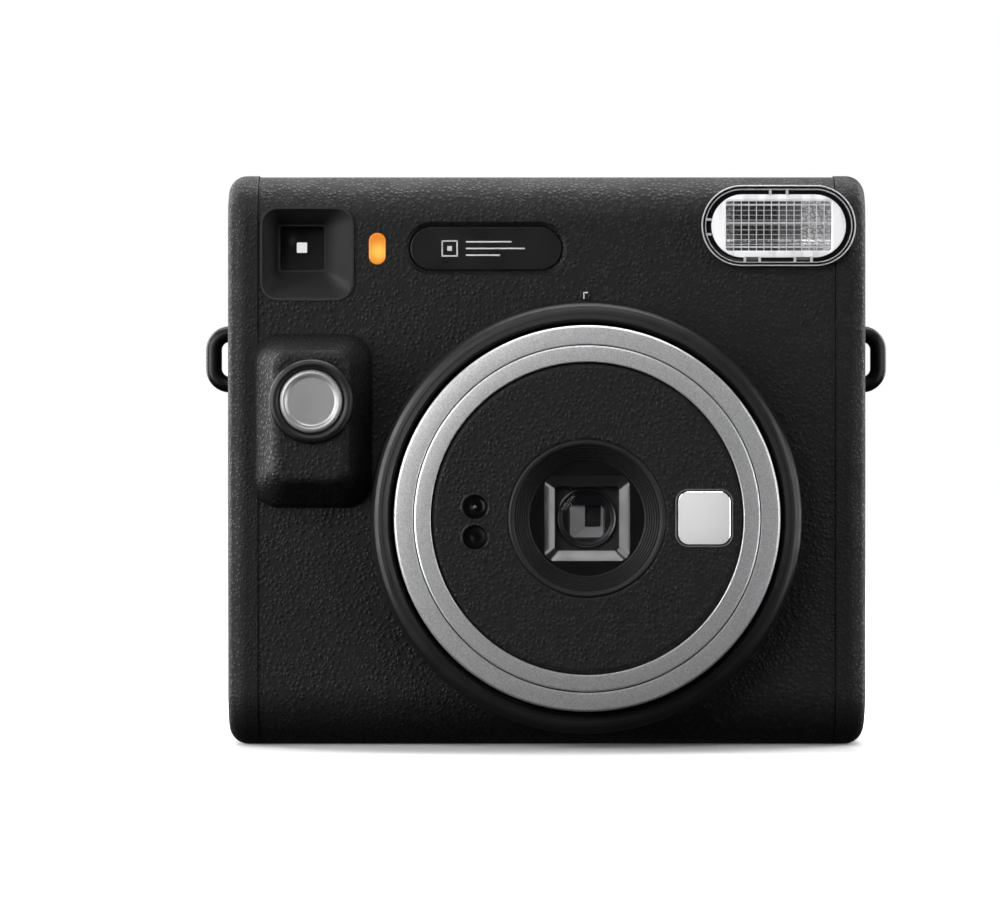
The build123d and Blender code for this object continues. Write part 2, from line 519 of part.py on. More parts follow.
def make_barrel(out):
    """The part of the lens that slides but doesn't turn, and what is on its face."""
    seat_y, wall_y = RING_Y + 1.7, PLATE_Y + 1.5
    tube = tube_y(BARREL_IN, BARREL_OUT, seat_y, -9.2)
    tube += tube_y(HOOD_R + 0.05, BARREL_IN + 0.5, wall_y, WALL_BACK_Y)
    for k in range(3):
        key = block(LENS_X - 1.3, LENS_X + 1.3, -11.6, -9.25,
                    LENS_Z + GUIDE_OUT - 0.75, LENS_Z + BARREL_IN + 0.5)
        tube += spin(key, 60 + 120 * k)
    out["lens_barrel"] = tube
    out["barrel_trim_ring"] = turned([
        (PLATE_R + 0.05, RING_Y + 0.9), (PLATE_R + 0.2, RING_Y + 0.35), (PLATE_R + 0.5, RING_Y + 0.25),
        (TRIM_R - 2.0, RING_Y + 0.3), (TRIM_R - 0.75, RING_Y), (TRIM_R - 0.4, RING_Y + 0.05),
        (TRIM_R - 0.18, RING_Y + 0.3), (TRIM_R - 0.18, RING_Y + 1.2), (TRIM_R - 0.3, seat_y),
        (PLATE_R + 0.05, seat_y)])
    out["barrel_retaining_ring"] = tube_y(BARREL_IN, TUBE_OUT - 0.2, -9.2, -8.35)
    plate = turned([(HOOD_R + 0.05, PLATE_Y + 0.1), (HOOD_R + 0.05, wall_y), (PLATE_R, wall_y),
                    (PLATE_R, PLATE_Y + 1.1), (PLATE_R - 0.15, PLATE_Y + 0.6), (PLATE_R - 0.5, PLATE_Y + 0.22),
                    (PLATE_R - 1.1, PLATE_Y), (HOOD_R + 0.4, PLATE_Y)])
    mx, mz, mw, mh = MIRROR
    plate += prism_y(mw + 1.0, mh + 1.0, 2.0, mx, mz, PLATE_Y - 0.15, PLATE_Y + 1.0)
    plate -= prism_y(mw + 0.1, mh + 0.1, 1.55, mx, mz, RING_Y - 1, PLATE_Y + 1.1)
    windows = []
    for z in SENSOR_ZS:
        plate += rod_y(SENSOR_R, PLATE_Y - 0.12, PLATE_Y + 1.0, SENSOR_X, z)
        plate -= rod_y(SENSOR_R - 0.4, RING_Y - 1, PLATE_Y + 3, SENSOR_X, z)
        windows.append(rod_y(SENSOR_R - 0.4, PLATE_Y + 0.5, PLATE_Y + 1.3, SENSOR_X, z))
    out["lens_face_plate"] = plate
    out["sensor_windows"] = group(*windows)
    glass = prism_y(mw, mh, 1.5, mx, mz, PLATE_Y + 0.1, PLATE_Y + 1.1)
    out["selfie_mirror"] = fillet(edges_at(glass, Axis.Y, PLATE_Y + 0.1), 0.12)


def make_hood():
    """The stepped ring and the square funnel in front of the lens."""
    top = RING_Y + 0.05
    ridges, r0, r1, y0, y1 = 6, 12.0, 14.9, top + 3.2, top + 0.75
    points = [(r0 - 0.1, top + 4.6), (r0 - 0.1, top + 3.35)]
    for i in range(ridges):
        ra, rb = r0 + (r1 - r0) * i / ridges, r0 + (r1 - r0) * (i + 1) / ridges
        ya = y0 + (y1 - y0) * i / ridges
        points += [(ra + 0.08, ya), (rb - 0.1, ya - 0.34), (rb - 0.02, ya - 0.1)]
    crest = HOOD_R - 0.6
    points += [(crest - 0.75, top + 0.45), (crest - 0.4, top + 0.1), (crest, top),
               (crest + 0.35, top + 0.15), (HOOD_R, top + 0.5), (HOOD_R, top + 4.6)]
    base = rod_y(HOOD_R, HOOD_FLOOR_Y, HOOD_BACK_Y)
    outer, inner = 17.9, 12.9
    waist = inner + 1.4
    front, back = (outer, outer, 2.3), (waist, waist, 0.9)
    funnel = taper_y(LENS_X, LENS_Z, HOOD_FLOOR_Y - 0.02, front, HOOD_FLOOR_Y + 1.7, back)
    throat = prism_y(inner, inner, 0.4, LENS_X, LENS_Z, HOOD_FLOOR_Y - 1, HOOD_BACK_Y + 1)
    return turned(points) + (base - funnel - throat)


def make_lens_unit(out):
    """The lens cell, both glasses and the two-bladed shutter behind them."""
    out["lens_hood"] = make_hood()
    seat = HOOD_BACK_Y
    stop = seat + 4.5
    body = rod_y(SHUTTER_R, WALL_BACK_Y, stop) - rod_y(HOOD_R + 0.05, WALL_BACK_Y - 1, seat)
    body -= rod_y(LENS_R + 0.05, seat - 1, seat + 2.5)
    body -= rod_y(4.6, seat, stop + 1)
    for side in (-1, 1):
        body += rod_y(0.8, stop - 0.1, stop + 2.4, LENS_X + side * BLADE_X, LENS_Z - BLADE_DROP)
    out["shutter_body"] = body
    front = rod_y(LENS_R, seat - 1.2, seat + 2.5) & Pos(LENS_X, seat + 9.9, LENS_Z) * Sphere(11.0)
    rear_y = stop + 3.5
    rear = rod_y(5.9, stop + 2.7, rear_y + 2.5) & Pos(LENS_X, rear_y + 2.0 - 12.0, LENS_Z) * Sphere(12.0)
    out["lens_elements"] = group(front, rear)
    reach = hypot(BLADE_X, BLADE_DROP)
    for name, side, y in (("shutter_blade_left", -1, stop + 0.3), ("shutter_blade_right", 1, stop + 0.8)):
        px, pz = LENS_X + side * BLADE_X, LENS_Z - BLADE_DROP
        blade = rod_y(4.9, y, y + 0.3) + rod_y(2.0, y, y + 0.3, px, pz)
        lean = degrees(atan2(BLADE_DROP, -side * BLADE_X))
        blade += Pos(px, y + 0.15, pz) * Rot(0, -lean, 0) * Pos(reach / 2, 0, 0) * Box(reach, 0.3, 3.2)
        out[name] = blade - rod_y(0.8 + BORE_PLAY, y - 1, y + 1, px, pz)
    cover = tube_y(SHUTTER_R - 3.5, SHUTTER_R, stop, rear_y - 0.9)
    cover += rod_y(SHUTTER_R, rear_y - 0.9, rear_y + 0.1) - rod_y(5.95, stop, rear_y + 3)
    for side in (-1, 1):
        cover -= rod_y(0.9, stop, rear_y + 3, LENS_X + side * BLADE_X, LENS_Z - BLADE_DROP)
    out["shutter_cover"] = cover


# ---- inside ---------------------------------------------------------------------------
def make_film_chamber():
    frame = block(CASE_X0, CASE_X1, CHAMBER_Y0, CHAMBER_Y1, CHAMBER_Z0, CHAMBER_Z1)
    frame -= block(CASE_X0 + 1.4, CASE_X1 - 1.4, CHAMBER_Y0 + 1.8, FAR, CHAMBER_Z0 + 1.5, CHAMBER_Z1 - 1.0)
    half = IMAGE / 2
    frame -= block(LENS_X - half, LENS_X + half, 0, FAR, LENS_Z - half, LENS_Z + half)
    half = FILM_W / 2 + 1
    frame -= block(LENS_X - half, LENS_X + half, FILM_Y - 1.2, FILM_Y + 1.2, CHAMBER_Z1 - 3, FAR)
    frame -= block(FILM_X0 - 2.8, FILM_X0 + 1.8, 0, CHAMBER_Y0 + 3, CHAMBER_Z0 + 1.9, FILM_Z0 + 12.5)
    for x in (FILM_X0 - 3.5, FILM_X0 + 1.7):
        frame += block(x, x + 0.8, 5.6, CHAMBER_Y0 + 0.1, CHAMBER_Z0, FILM_Z0 + 26.0)
    axle_y, axle_z = IDLER_YZ
    return frame + rod_x(AXLE_R, CASE_X1 - 0.1, PLANES[1][1] + 0.4, axle_y, axle_z)


def make_film_pack(out):
    x0, x1 = LENS_X - PACK[0] / 2, LENS_X + PACK[0] / 2
    y0, y1, z0, z1 = PACK_Y0, PACK_Y0 + PACK[2], PACK_Z0, PACK_Z0 + PACK[1]
    case = block(x0, x1, y0, y1, z0, z1) - block(x0 + 1.3, x1 - 1.3, y0 + 1.4, y1 - 1.4, z0 + 1.3, z1 - 1.3)
    half = IMAGE / 2
    case -= block(LENS_X - half, LENS_X + half, 0, y0 + 2, LENS_Z - half, LENS_Z + half)
    half = FILM_W / 2 + 0.5
    case -= block(LENS_X - half, LENS_X + half, FILM_Y - 0.45, FILM_Y + 0.35, z1 - 3, z1 + 3)
    case -= block(FILM_X0 - 2.2, FILM_X0 + 1.8, 0, FILM_Y + 0.3, z0 - 1, FILM_Z0 + 10)
    for dx in (-14, 14):
        case -= prism_y(12, 26, 2.0, LENS_X + dx, LENS_Z, y1 - 3, y1 + 3)
    out["film_pack_case"] = case
    sheet_x1 = FILM_X0 + FILM_W
    first, pitch = FILM_Y - FILM_T / 2, FILM_T + 0.03
    out["film_sheet"] = block(FILM_X0, sheet_x1, first, first + FILM_T, FILM_Z0, FILM_Z0 + FILM_H)
    stack = []
    for i in range(1, 10):
        y = first + i * pitch + 0.03
        stack.append(block(FILM_X0, sheet_x1, y, y + FILM_T, FILM_Z0, FILM_Z0 + FILM_H))
    back = first + 10 * pitch + 0.1
    plate = block(FILM_X0 + 2, sheet_x1 - 2, back, back + 1.2, FILM_Z0 + 3, FILM_Z0 + FILM_H - 3)
    rise = y1 - 1.5 - back - 1.2
    for dx in (-24, 24):
        for side in (-1, 1):
            leaf = Pos(LENS_X + dx, back + 1.2 + rise / 2, LENS_Z + side * 18) * Rot(side * 22, 0, 0)
            plate += leaf * Box(8, 0.5, 22.5)
    stack.append(plate & block(-FAR, FAR, back, y1 - 1.45, -FAR, FAR))
    out["film_stack"] = group(*stack)


def make_film_drive(out):
    """Spread rollers in their frame, the gears that turn them and the motor."""
    x0, x1 = LENS_X - FILM_W / 2 - 1, LENS_X + FILM_W / 2 + 1
    near, far = PLANES
    roller_r = ROLLER_M * ROLLER_TEETH / 2
    front_phase = meshing(REAR_ROLLER_YZ, 0, roller_r, FRONT_ROLLER_YZ, roller_r, ROLLER_TEETH)
    small_r, big_r = ROLLER_M * IDLER_SMALL / 2, MOTOR_M * IDLER_BIG / 2
    small_phase = meshing(FRONT_ROLLER_YZ, front_phase, roller_r, IDLER_YZ, small_r, IDLER_SMALL)
    pinion_phase = meshing(IDLER_YZ, 0, big_r, MOTOR_YZ, MOTOR_M * PINION / 2, PINION)
    for name, yz, phase in (("rear", REAR_ROLLER_YZ, 0), ("front", FRONT_ROLLER_YZ, front_phase)):
        roller = rod_x(ROLLER_R, x0, x1, *yz) + rod_x(SHAFT_R, x0 - 3.6, near[1] + 0.3, *yz)
        out["spread_roller_" + name] = roller
        out["roller_gear_" + name] = gear(ROLLER_M, ROLLER_TEETH, *near, yz, phase, SHAFT_R)
    idler = gear(ROLLER_M, IDLER_SMALL, near[0], far[0], IDLER_YZ, small_phase, 0)
    idler += gear(MOTOR_M, IDLER_BIG, *far, IDLER_YZ, 0, 0)
    out["idler_gear"] = idler - rod_x(AXLE_R + BORE_PLAY, near[0] - 1, far[1] + 1, *IDLER_YZ)
    pinion = gear(MOTOR_M, PINION, *far, MOTOR_YZ, pinion_phase, 0)
    out["motor_pinion"] = pinion + rod_x(0.75, MOTOR_X1 - 1.5, far[0] + 0.1, *MOTOR_YZ)
    motor = fillet(edges_at(rod_x(MOTOR_R, MOTOR_X0, MOTOR_X1, *MOTOR_YZ), Axis.X, MOTOR_X0), 0.8)
    out["film_motor"] = motor - rod_x(0.75 + BORE_PLAY, MOTOR_X1 - 1.6, MOTOR_X1 + 1, *MOTOR_YZ)
    top = ROLLER_Z + 6.4
    left, right, thick = x0 - 3.4, x1 + 0.4, 1.6
    frame = block(left, right + thick, 22.7, 23.7, CHAMBER_Z1, top)
    for x in (left, right):
        frame += block(x, x + thick, 0.6, 22.8, CHAMBER_Z1, top)
    motor_y, motor_z = MOTOR_YZ
    frame += block(right, right + thick, motor_y - 8.5, CHAMBER_Y0, motor_z - 8.0, CHAMBER_Z1 + 0.1)
    frame -= block(right - 1, right + thick + 1, motor_y - 9, 0.6, motor_z + 8.2, FAR)
    frame -= rod_x(MOTOR_R + BORE_PLAY, right - 1, right + thick + 1, *MOTOR_YZ)
    for yz in (REAR_ROLLER_YZ, FRONT_ROLLER_YZ):
        frame -= rod_x(SHAFT_R + BORE_PLAY, left - 1, right + thick + 1, *yz)
    out["roller_frame"] = frame


def make_claw():
    body = block(FILM_X0 - 2.4, FILM_X0 + 1.4, 5.4, 7.7, FILM_Z0 - 3.0, FILM_Z0 + 15)
    tip = block(FILM_X0 - 1.8, FILM_X0 + 1.3, 7.6, FILM_Y + 0.15, FILM_Z0 - 1.4, FILM_Z0 - 0.3)
    return body + tip


def make_batteries(out):
    x0, x1 = CELL_X0, CELL_X0 + CELL_L
    low, high = CELL_ZS
    case = block(x0 - 0.3, CASE_X0, CELL_Y - 9.0, CELL_Y + 9.0, low - 9.2, high + 9.2)
    cells = []
    contacts = []
    for z, nub in ((low, (x1 - 0.1, x1 + 0.5)), (high, (x0 + 0.3, x0 + 1.0))):
        case -= rod_x(CELL_R + 0.2, x0 - 5, x1 + 0.9, CELL_Y, z)
        cell = fillet(rod_x(CELL_R, x0 + 0.9, x1, CELL_Y, z).edges(), 0.4)
        cells.append(cell + rod_x(2.6, *nub, CELL_Y, z))
        contacts.append(rod_x(4.5, x1 + 0.55, x1 + 0.9, CELL_Y, z))
    out["battery_case"] = group(case, *contacts)
    out["batteries"] = group(*cells)


def make_battery_cover():
    """The hatch with its two moulded hinge pins, and the plate that joins the two cells."""
    skin = -WIDTH / 2
    cover = block(skin, skin + WALL, COVER_Y0, COVER_PIN_Y - 1.3, COVER_Z0, COVER_Z1)
    cover = fillet(edges_at(cover, Axis.X, skin), 0.3)
    for i in range(5):
        y = COVER_Y0 + 2.2 + i * 1.3
        cover -= block(skin - 1, skin + 0.5, y, y + 0.7, 22.5, 34.5)
    knuckle = 9.0
    for z0, z1, pin_end in ((COVER_Z0, COVER_Z0 + knuckle, COVER_Z0 - 1.0),
                            (COVER_Z1 - knuckle, COVER_Z1, COVER_Z1 + 1.0)):
        cover += rod_z(1.0, z0, z1, COVER_PIN_X, COVER_PIN_Y)
        cover += block(COVER_PIN_X - 0.8, COVER_PIN_X + 0.8, COVER_PIN_Y - 1.6, COVER_PIN_Y, z0, z1)
        cover += rod_z(COVER_PIN_R, min(z0, pin_end), max(z1, pin_end), COVER_PIN_X, COVER_PIN_Y)
    low, high = CELL_ZS
    link = block(skin + WALL, skin + WALL + 0.35, CELL_Y - 4, CELL_Y + 4, low - 5, high + 5)
    return group(cover, link)


def make_door(out):
    y0, y1 = BACK_Y - DOOR_T, BACK_Y
    door = block(DOOR_X0, DOOR_X1, y0, y1, DOOR_Z0, DOOR_Z1)
    corners = [e for e in door.edges().filter_by(Axis.Y) if e.center().X < 0]
    door = fillet(corners, 3.0)
    door = fillet(edges_at(door, Axis.Y, y1), 0.8)
    for z0, z1 in hinge_spans(0):
        door += rod_z(KNUCKLE_R, z0, z1, HINGE_X, HINGE_Y)
        door += block(DOOR_X1 - 0.5, HINGE_X, HINGE_Y - 0.8, HINGE_Y + KNUCKLE_R - 0.1, z0, z1)
        door -= rod_z(HINGE_PIN_R + 0.04, z0 - 0.01, z1 + 0.01, HINGE_X, HINGE_Y)
    x, z, w, h = DOOR_WINDOW
    door -= prism_y(w + 0.2, h + 0.2, 2.0, x, z, y0 - 1, y1 + 1)
    door -= prism_y(w + 1.8, h + 1.8, 2.6, x, z, y0 - 1, y0 + 0.9)
    door += block(DOOR_X0 + 0.1, DOOR_X0 + 1.9, y0 - 2.7, y0 + 0.1, LATCH_Z + 1, LATCH_Z + 5)
    out["back_door"] = door
    pane = prism_y(w, h, 1.9, x, z, y0 + 0.05, y1 - 0.15)
    pane += prism_y(w + 1.6, h + 1.6, 2.5, x, z, y0 + 0.05, y0 + 0.85)
    out["door_window"] = pane
    seal = block(CASE_X0, CASE_X1 - 0.3, y0 - 0.5, y0, CHAMBER_Z0 + 0.3, CHAMBER_Z1 - 0.3)
    seal -= block(CASE_X0 + 1.4, CASE_X1 - 1.7, y0 - 1, y0 + 1, CHAMBER_Z0 + 1.7, CHAMBER_Z1 - 1.7)
    pads = []
    for dx in (-24, 24):
        for dz in (-18, 18):
            pads.append(prism_y(6, 20, 1.5, LENS_X + dx, LENS_Z + dz, y0 - 0.3, y0))
    out["door_foam"] = group(seal, *pads)
    out["door_hinge_pin"] = rod_z(HINGE_PIN_R, DOOR_Z0, DOOR_Z1, HINGE_X, HINGE_Y)


def make_latch(out):
    grip = prism_y(6.0, 12.0, 1.8, LATCH_X, LATCH_Z + 3.0, REAR_Y - 0.9, BACK_Y)
    for i in range(4):
        z = LATCH_Z + 0.4 + 1.5 * i
        grip -= block(LATCH_X - 4, LATCH_X + 4, BACK_Y - 0.45, BACK_Y + 1, z, z + 0.7)
    grip += prism_y(2.6, 6.2, 0.8, LATCH_X, LATCH_Z + 3.0, REAR_Y - WALL - 0.1, REAR_Y - 0.8)
    hook_y = REAR_Y - WALL - 0.1
    grip += block(LATCH_X - 2.6, DOOR_X0 - 0.7, hook_y - 1.3, hook_y, LATCH_Z - 2, LATCH_Z + 8)
    out["door_latch"] = grip


def make_counter(out):
    disc = rod_y(COUNTER_R, 24.6, 25.6, COUNTER_X, COUNTER_Z)
    out["counter_disc"] = disc - rod_y(AXLE_R + BORE_PLAY, 20, 30, COUNTER_X, COUNTER_Z)
    pane = prism_y(7.0, 5.0, 0.95, COUNTER_X, COUNTER_Z + 5.2, REAR_Y - WALL + 0.3, REAR_Y - 0.2)
    out["counter_window"] = pane


def make_circuit_board():
    """The board with what is soldered to it: chips, release switch, lamp and the flash's capacitor."""
    rear = BOARD_Y + BOARD_T
    board = block(-60.0, -34.5, BOARD_Y, rear, 50.0, 95.8)
    board += block(-42.0, -33.0, BOARD_Y, rear, 95.0, 109.0)
    for x, z, w, h in ((-46, 60, 9, 9), (-53, 82, 6, 8), (-41, 84, 5, 5), (-54, 64, 4, 7), (-40, 92, 7, 3)):
        board += block(x - w / 2, x + w / 2, rear - 0.1, rear + 1.4, z - h / 2, z + h / 2)
    half = SWITCH_W / 2
    board += block(BUTTON_X - half, BUTTON_X + half, BOARD_Y - SWITCH_H, BOARD_Y + 0.1,
                   BUTTON_Z - half, BUTTON_Z + half)
    x, z, _, _ = LAMP
    board += block(x - 1.0, x + 1.0, BOARD_Y - 0.9, BOARD_Y + 0.1, z - 1.5, z + 1.5)
    can_x, can_y = -48.0, -3.4
    board += fillet(rod_z(6.3, 9.0, 42.0, can_x, can_y).edges(), 0.8)
    for dx in (-1.2, 1.2):
        board += rod_z(0.4, 41.5, 50.5, can_x + dx, BOARD_Y + 0.5)
    return board


def make_screws():
    """The four base screws, with cross recesses."""
    screws = []
    for x, y in SCREW_PLACES:
        head = rod_z(1.9, 0.3, 1.5, x, y)
        shank = rod_z(0.95, 1.2, 4.8, x, y)
        cross = Pos(x, y, 0.3) * (Box(2.1, 0.45, 1.0) + Box(0.45, 2.1, 1.0))
        screws.append(head + shank - cross)
    return group(*screws)


def screw_seat(x, y):
    """The counterbore and pilot hole of a base screw."""
    return rod_z(2.0, -0.5, 1.5, x, y) + rod_z(1.05, -1.0, 7.0, x, y)


# ---- assembly -------------------------------------------------------------------------
parts["front_cover"] = make_front_cover()
parts["rear_cover"] = make_rear_cover()
parts["left_side_cover"] = make_side_cover(-1)
parts["right_side_cover"] = make_side_cover(1)
parts["film_exit_felt"] = make_felt()
make_viewfinder(parts)
parts["indicator_lens"] = make_lamp()
parts["nameplate"] = make_nameplate()
make_flash(parts)
make_shutter_release(parts)
parts["strap_lugs"] = group(make_lug(-1), make_lug(1))
parts["light_box"] = make_light_box()
parts["cam_tube"] = make_cam_tube()
parts["dial_ring"], parts["dial_tube"] = make_dial()
make_barrel(parts)
make_lens_unit(parts)
parts["film_chamber"] = make_film_chamber()
make_film_pack(parts)
make_film_drive(parts)
parts["film_claw"] = make_claw()
make_batteries(parts)
parts["battery_cover"] = make_battery_cover()
make_door(parts)
make_latch(parts)
make_counter(parts)
parts["circuit_board"] = make_circuit_board()
parts["base_screws"] = make_screws()
for x, y in SCREW_PLACES:
    parts["front_cover" if y < SPLIT_Y else "rear_cover"] -= screw_seat(x, y)

os.makedirs("parts", exist_ok=True)
for old in os.listdir("parts"):
    if old.endswith(".step") and old[:-5] not in parts:
        os.remove(os.path.join("parts", old))
for name, shape in parts.items():
    solids = shape if isinstance(shape, Compound) else Compound(children=shape.solids())
    export_step(solids, f"parts/{name}.step")
print(len(parts), "nodes")
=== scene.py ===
import math

import bmesh
import bpy
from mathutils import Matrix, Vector


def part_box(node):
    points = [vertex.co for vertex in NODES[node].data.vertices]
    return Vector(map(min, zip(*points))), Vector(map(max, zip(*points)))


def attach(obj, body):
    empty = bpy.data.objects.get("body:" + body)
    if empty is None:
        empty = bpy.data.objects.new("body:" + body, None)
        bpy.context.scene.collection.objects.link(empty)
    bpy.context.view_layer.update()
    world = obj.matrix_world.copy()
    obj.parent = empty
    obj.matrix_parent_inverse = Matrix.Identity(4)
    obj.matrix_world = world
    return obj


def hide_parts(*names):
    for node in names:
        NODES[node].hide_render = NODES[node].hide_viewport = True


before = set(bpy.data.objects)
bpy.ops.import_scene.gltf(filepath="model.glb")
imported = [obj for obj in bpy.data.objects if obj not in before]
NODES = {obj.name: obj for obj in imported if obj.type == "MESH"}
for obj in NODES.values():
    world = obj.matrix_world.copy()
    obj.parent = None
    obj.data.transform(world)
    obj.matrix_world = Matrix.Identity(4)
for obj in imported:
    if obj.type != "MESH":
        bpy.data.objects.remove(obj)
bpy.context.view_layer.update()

# Instant camera, dressed over its CAD model. Lengths are in millimetres and turned into metres by MM.
MM = 0.001


# ---- places read from the CAD model ---------------------------------------------------
def centre(node):
    """The middle of a CAD node's box, in millimetres."""
    low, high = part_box(node)
    return (low + high) / 2 / MM


def front_of(node):
    """The foremost y of a CAD node, in millimetres."""
    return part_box(node)[0].y / MM


LENS = centre("dial_ring")
FACE_Y = front_of("lens_face_plate")
RING_Y = front_of("barrel_trim_ring")
DIAL_Y = front_of("dial_ring")
HOOD_Y = RING_Y + 0.05
SEAT_DEPTH = 6.65                # from the hood's rim back to the front glass's seat
PLATE = centre("nameplate")
FLASH = centre("flash_window")
BUTTON = centre("shutter_button")
MIRROR = centre("selfie_mirror")


# ---- shader helpers -------------------------------------------------------------------
class Shader:
    """A material with a Principled shader and a few nodes wired into it."""

    def __init__(self, name, colour, roughness, metallic=0.0, **sockets):
        self.material = bpy.data.materials.new(name)
        self.material.use_nodes = True
        self.tree = self.material.node_tree
        self.shader = self.tree.nodes["Principled BSDF"]
        self.set("Base Color", (*colour, 1.0))
        self.set("Roughness", roughness)
        self.set("Metallic", metallic)
        for socket, value in sockets.items():
            self.set(socket.replace("_", " "), value)
        self.place = self.node("ShaderNodeTexCoord").outputs["Object"]
        self.normal = None

    def set(self, socket, value):
        self.shader.inputs[socket].default_value = value

    def node(self, kind, **settings):
        made = self.tree.nodes.new(kind)
        for key, value in settings.items():
            setattr(made, key, value)
        return made

    def link(self, source, target):
        self.tree.links.new(source, target)

    def noise(self, cell, detail=2.0, roughness=0.5, place=None):
        """Soft noise whose features are about cell millimetres wide."""
        made = self.node("ShaderNodeTexNoise")
        made.inputs["Scale"].default_value = 1 / (cell * MM)
        made.inputs["Detail"].default_value = detail
        made.inputs["Roughness"].default_value = roughness
        self.link(place or self.place, made.inputs["Vector"])
        return made.outputs["Fac"]

    def cells(self, cell, feature="F1", place=None, output="Distance"):
        """A Voronoi pattern whose cells are about cell millimetres wide."""
        made = self.node("ShaderNodeTexVoronoi", feature=feature)
        made.inputs["Scale"].default_value = 1 / (cell * MM)
        self.link(place or self.place, made.inputs["Vector"])
        return made.outputs[output]

    def stretched(self, factors):
        """The object's coordinates scaled along each axis."""
        made = self.node("ShaderNodeMapping")
        made.inputs["Scale"].default_value = factors
        self.link(self.place, made.inputs["Vector"])
        return made.outputs["Vector"]

    def warped(self, cell, amount, place=None):
        """Coordinates pushed about by noise, by up to amount millimetres."""
        noise = self.node("ShaderNodeTexNoise")
        noise.inputs["Scale"].default_value = 1 / (cell * MM)
        noise.inputs["Detail"].default_value = 2
        self.link(self.place, noise.inputs["Vector"])
        push = self.node("ShaderNodeVectorMath", operation="MULTIPLY_ADD")
        self.link(noise.outputs["Color"], push.inputs[0])
        push.inputs[1].default_value = (amount * MM,) * 3
        self.link(place or self.place, push.inputs[2])
        return push.outputs["Vector"]

    def ramp(self, value, low, high, out_low, out_high):
        """The value mapped smoothly from one range to another."""
        made = self.node("ShaderNodeMapRange", interpolation_type="SMOOTHSTEP")
        self.link(value, made.inputs["Value"])
        numbers = {"From Min": low, "From Max": high, "To Min": out_low, "To Max": out_high}
        for socket, number in numbers.items():
            made.inputs[socket].default_value = number
        return made.outputs["Result"]

    def math(self, operation, a, b):
        made = self.node("ShaderNodeMath", operation=operation)
        for value, socket in ((a, made.inputs[0]), (b, made.inputs[1])):
            if isinstance(value, (int, float)):
                socket.default_value = value
            else:
                self.link(value, socket)
        return made.outputs[0]

    def blend(self, factor, first, second):
        """A colour between two others."""
        made = self.node("ShaderNodeMix", data_type="RGBA")
        self.link(factor, made.inputs["Factor"])
        made.inputs["A"].default_value = (*first, 1.0)
        made.inputs["B"].default_value = (*second, 1.0)
        return made.outputs["Result"]

    def colour(self, source):
        self.link(source, self.shader.inputs["Base Color"])

    def rough(self, source):
        self.link(source, self.shader.inputs["Roughness"])

    def bump(self, height, depth, strength=1.0):
        """Raises the surface by depth millimetres where the height is 1."""
        made = self.node("ShaderNodeBump")
        made.inputs["Strength"].default_value = strength
        made.inputs["Distance"].default_value = depth * MM
        self.link(height, made.inputs["Height"])
        if self.normal:
            self.link(self.normal, made.inputs["Normal"])
        self.normal = made.outputs["Normal"]
        self.link(self.normal, self.shader.inputs["Normal"])


# ---- materials ------------------------------------------------------------------------
def leather(name, cell, depth):
    """Black leatherette: small rounded pebbles with creases between them, and finer pores on top."""
    m = Shader(name, (0.006, 0.006, 0.0065), 0.46, Specular_IOR_Level=0.4)
    warped = m.warped(cell * 1.3, cell * 0.45)
    crown = m.ramp(m.cells(cell, "F1", warped), 0.1, 0.75, 1.0, 0.0)
    crease = m.ramp(m.cells(cell, "DISTANCE_TO_EDGE", warped), 0.0, 0.16, 0.0, 1.0)
    height = m.math("MULTIPLY", crown, crease)
    m.bump(height, depth, 1.0)
    m.bump(m.noise(cell * 0.4, 3), depth * 0.3, 0.7)
    m.bump(m.noise(17, 2), 0.15, 0.3)
    # Painted shade: the creases and cell edges are darker than the pebble crowns.
    m.colour(m.blend(height, (0.003, 0.003, 0.0035), (0.008, 0.008, 0.0085)))
    m.rough(m.math("ADD", m.ramp(height, 0.1, 1.0, 0.64, 0.42), m.ramp(m.noise(9, 3), 0.3, 0.7, -0.04, 0.05)))
    return m.material


def plastic(name, colour, roughness, grain=0.16, depth=0.012, **sockets):
    """Moulded plastic with a fine spark-eroded grain and faint uneven gloss."""
    m = Shader(name, colour, roughness, **sockets)
    m.bump(m.noise(grain, 2), depth, 0.6)
    m.rough(m.ramp(m.noise(6, 4), 0.3, 0.7, roughness - 0.05, roughness + 0.06))
    light = tuple(c * 1.12 + 0.001 for c in colour)
    m.colour(m.blend(m.noise(11, 3), colour, light))
    return m.material


def silver_paint():
    """Silver lacquer with metal flake that sparkles from flake to flake."""
    m = Shader("silver_lacquer", (0.66, 0.66, 0.665), 0.38, 0.8, Specular_IOR_Level=0.4)
    split = m.node("ShaderNodeSeparateColor")
    m.link(m.cells(0.26, output="Color"), split.inputs["Color"])
    m.bump(split.outputs["Red"], 0.010, 0.5)
    m.colour(m.blend(split.outputs["Green"], (0.68, 0.68, 0.69), (0.88, 0.88, 0.89)))
    m.rough(m.ramp(split.outputs["Blue"], 0.0, 1.0, 0.34, 0.46))
    return m.material


def metal(name, colour, roughness, streak=(1, 1, 1), cell=0.3, depth=0.004):
    """Bare or plated metal with fine marks, drawn out along one direction by the streak factors."""
    m = Shader(name, colour, roughness, 1.0)
    mark = m.noise(cell, 3, place=m.stretched(streak))
    m.bump(mark, depth, 0.5)
    m.rough(m.ramp(mark, 0.3, 0.7, roughness - 0.06, roughness + 0.08))
    dark = tuple(c * 0.88 for c in colour)
    m.colour(m.blend(m.noise(7, 3), dark, colour))
    return m.material


def clear(name, colour, alpha, roughness=0.04, ior=1.49):
    """Thin clear plastic or coated glass, with very faint ripples."""
    m = Shader(name, colour, roughness, Alpha=alpha, IOR=ior)
    m.bump(m.noise(5, 1), 0.01, 0.15)
    tinted = tuple(c * 0.9 for c in colour)
    m.colour(m.blend(m.noise(3, 2), tinted, colour))
    return m.material


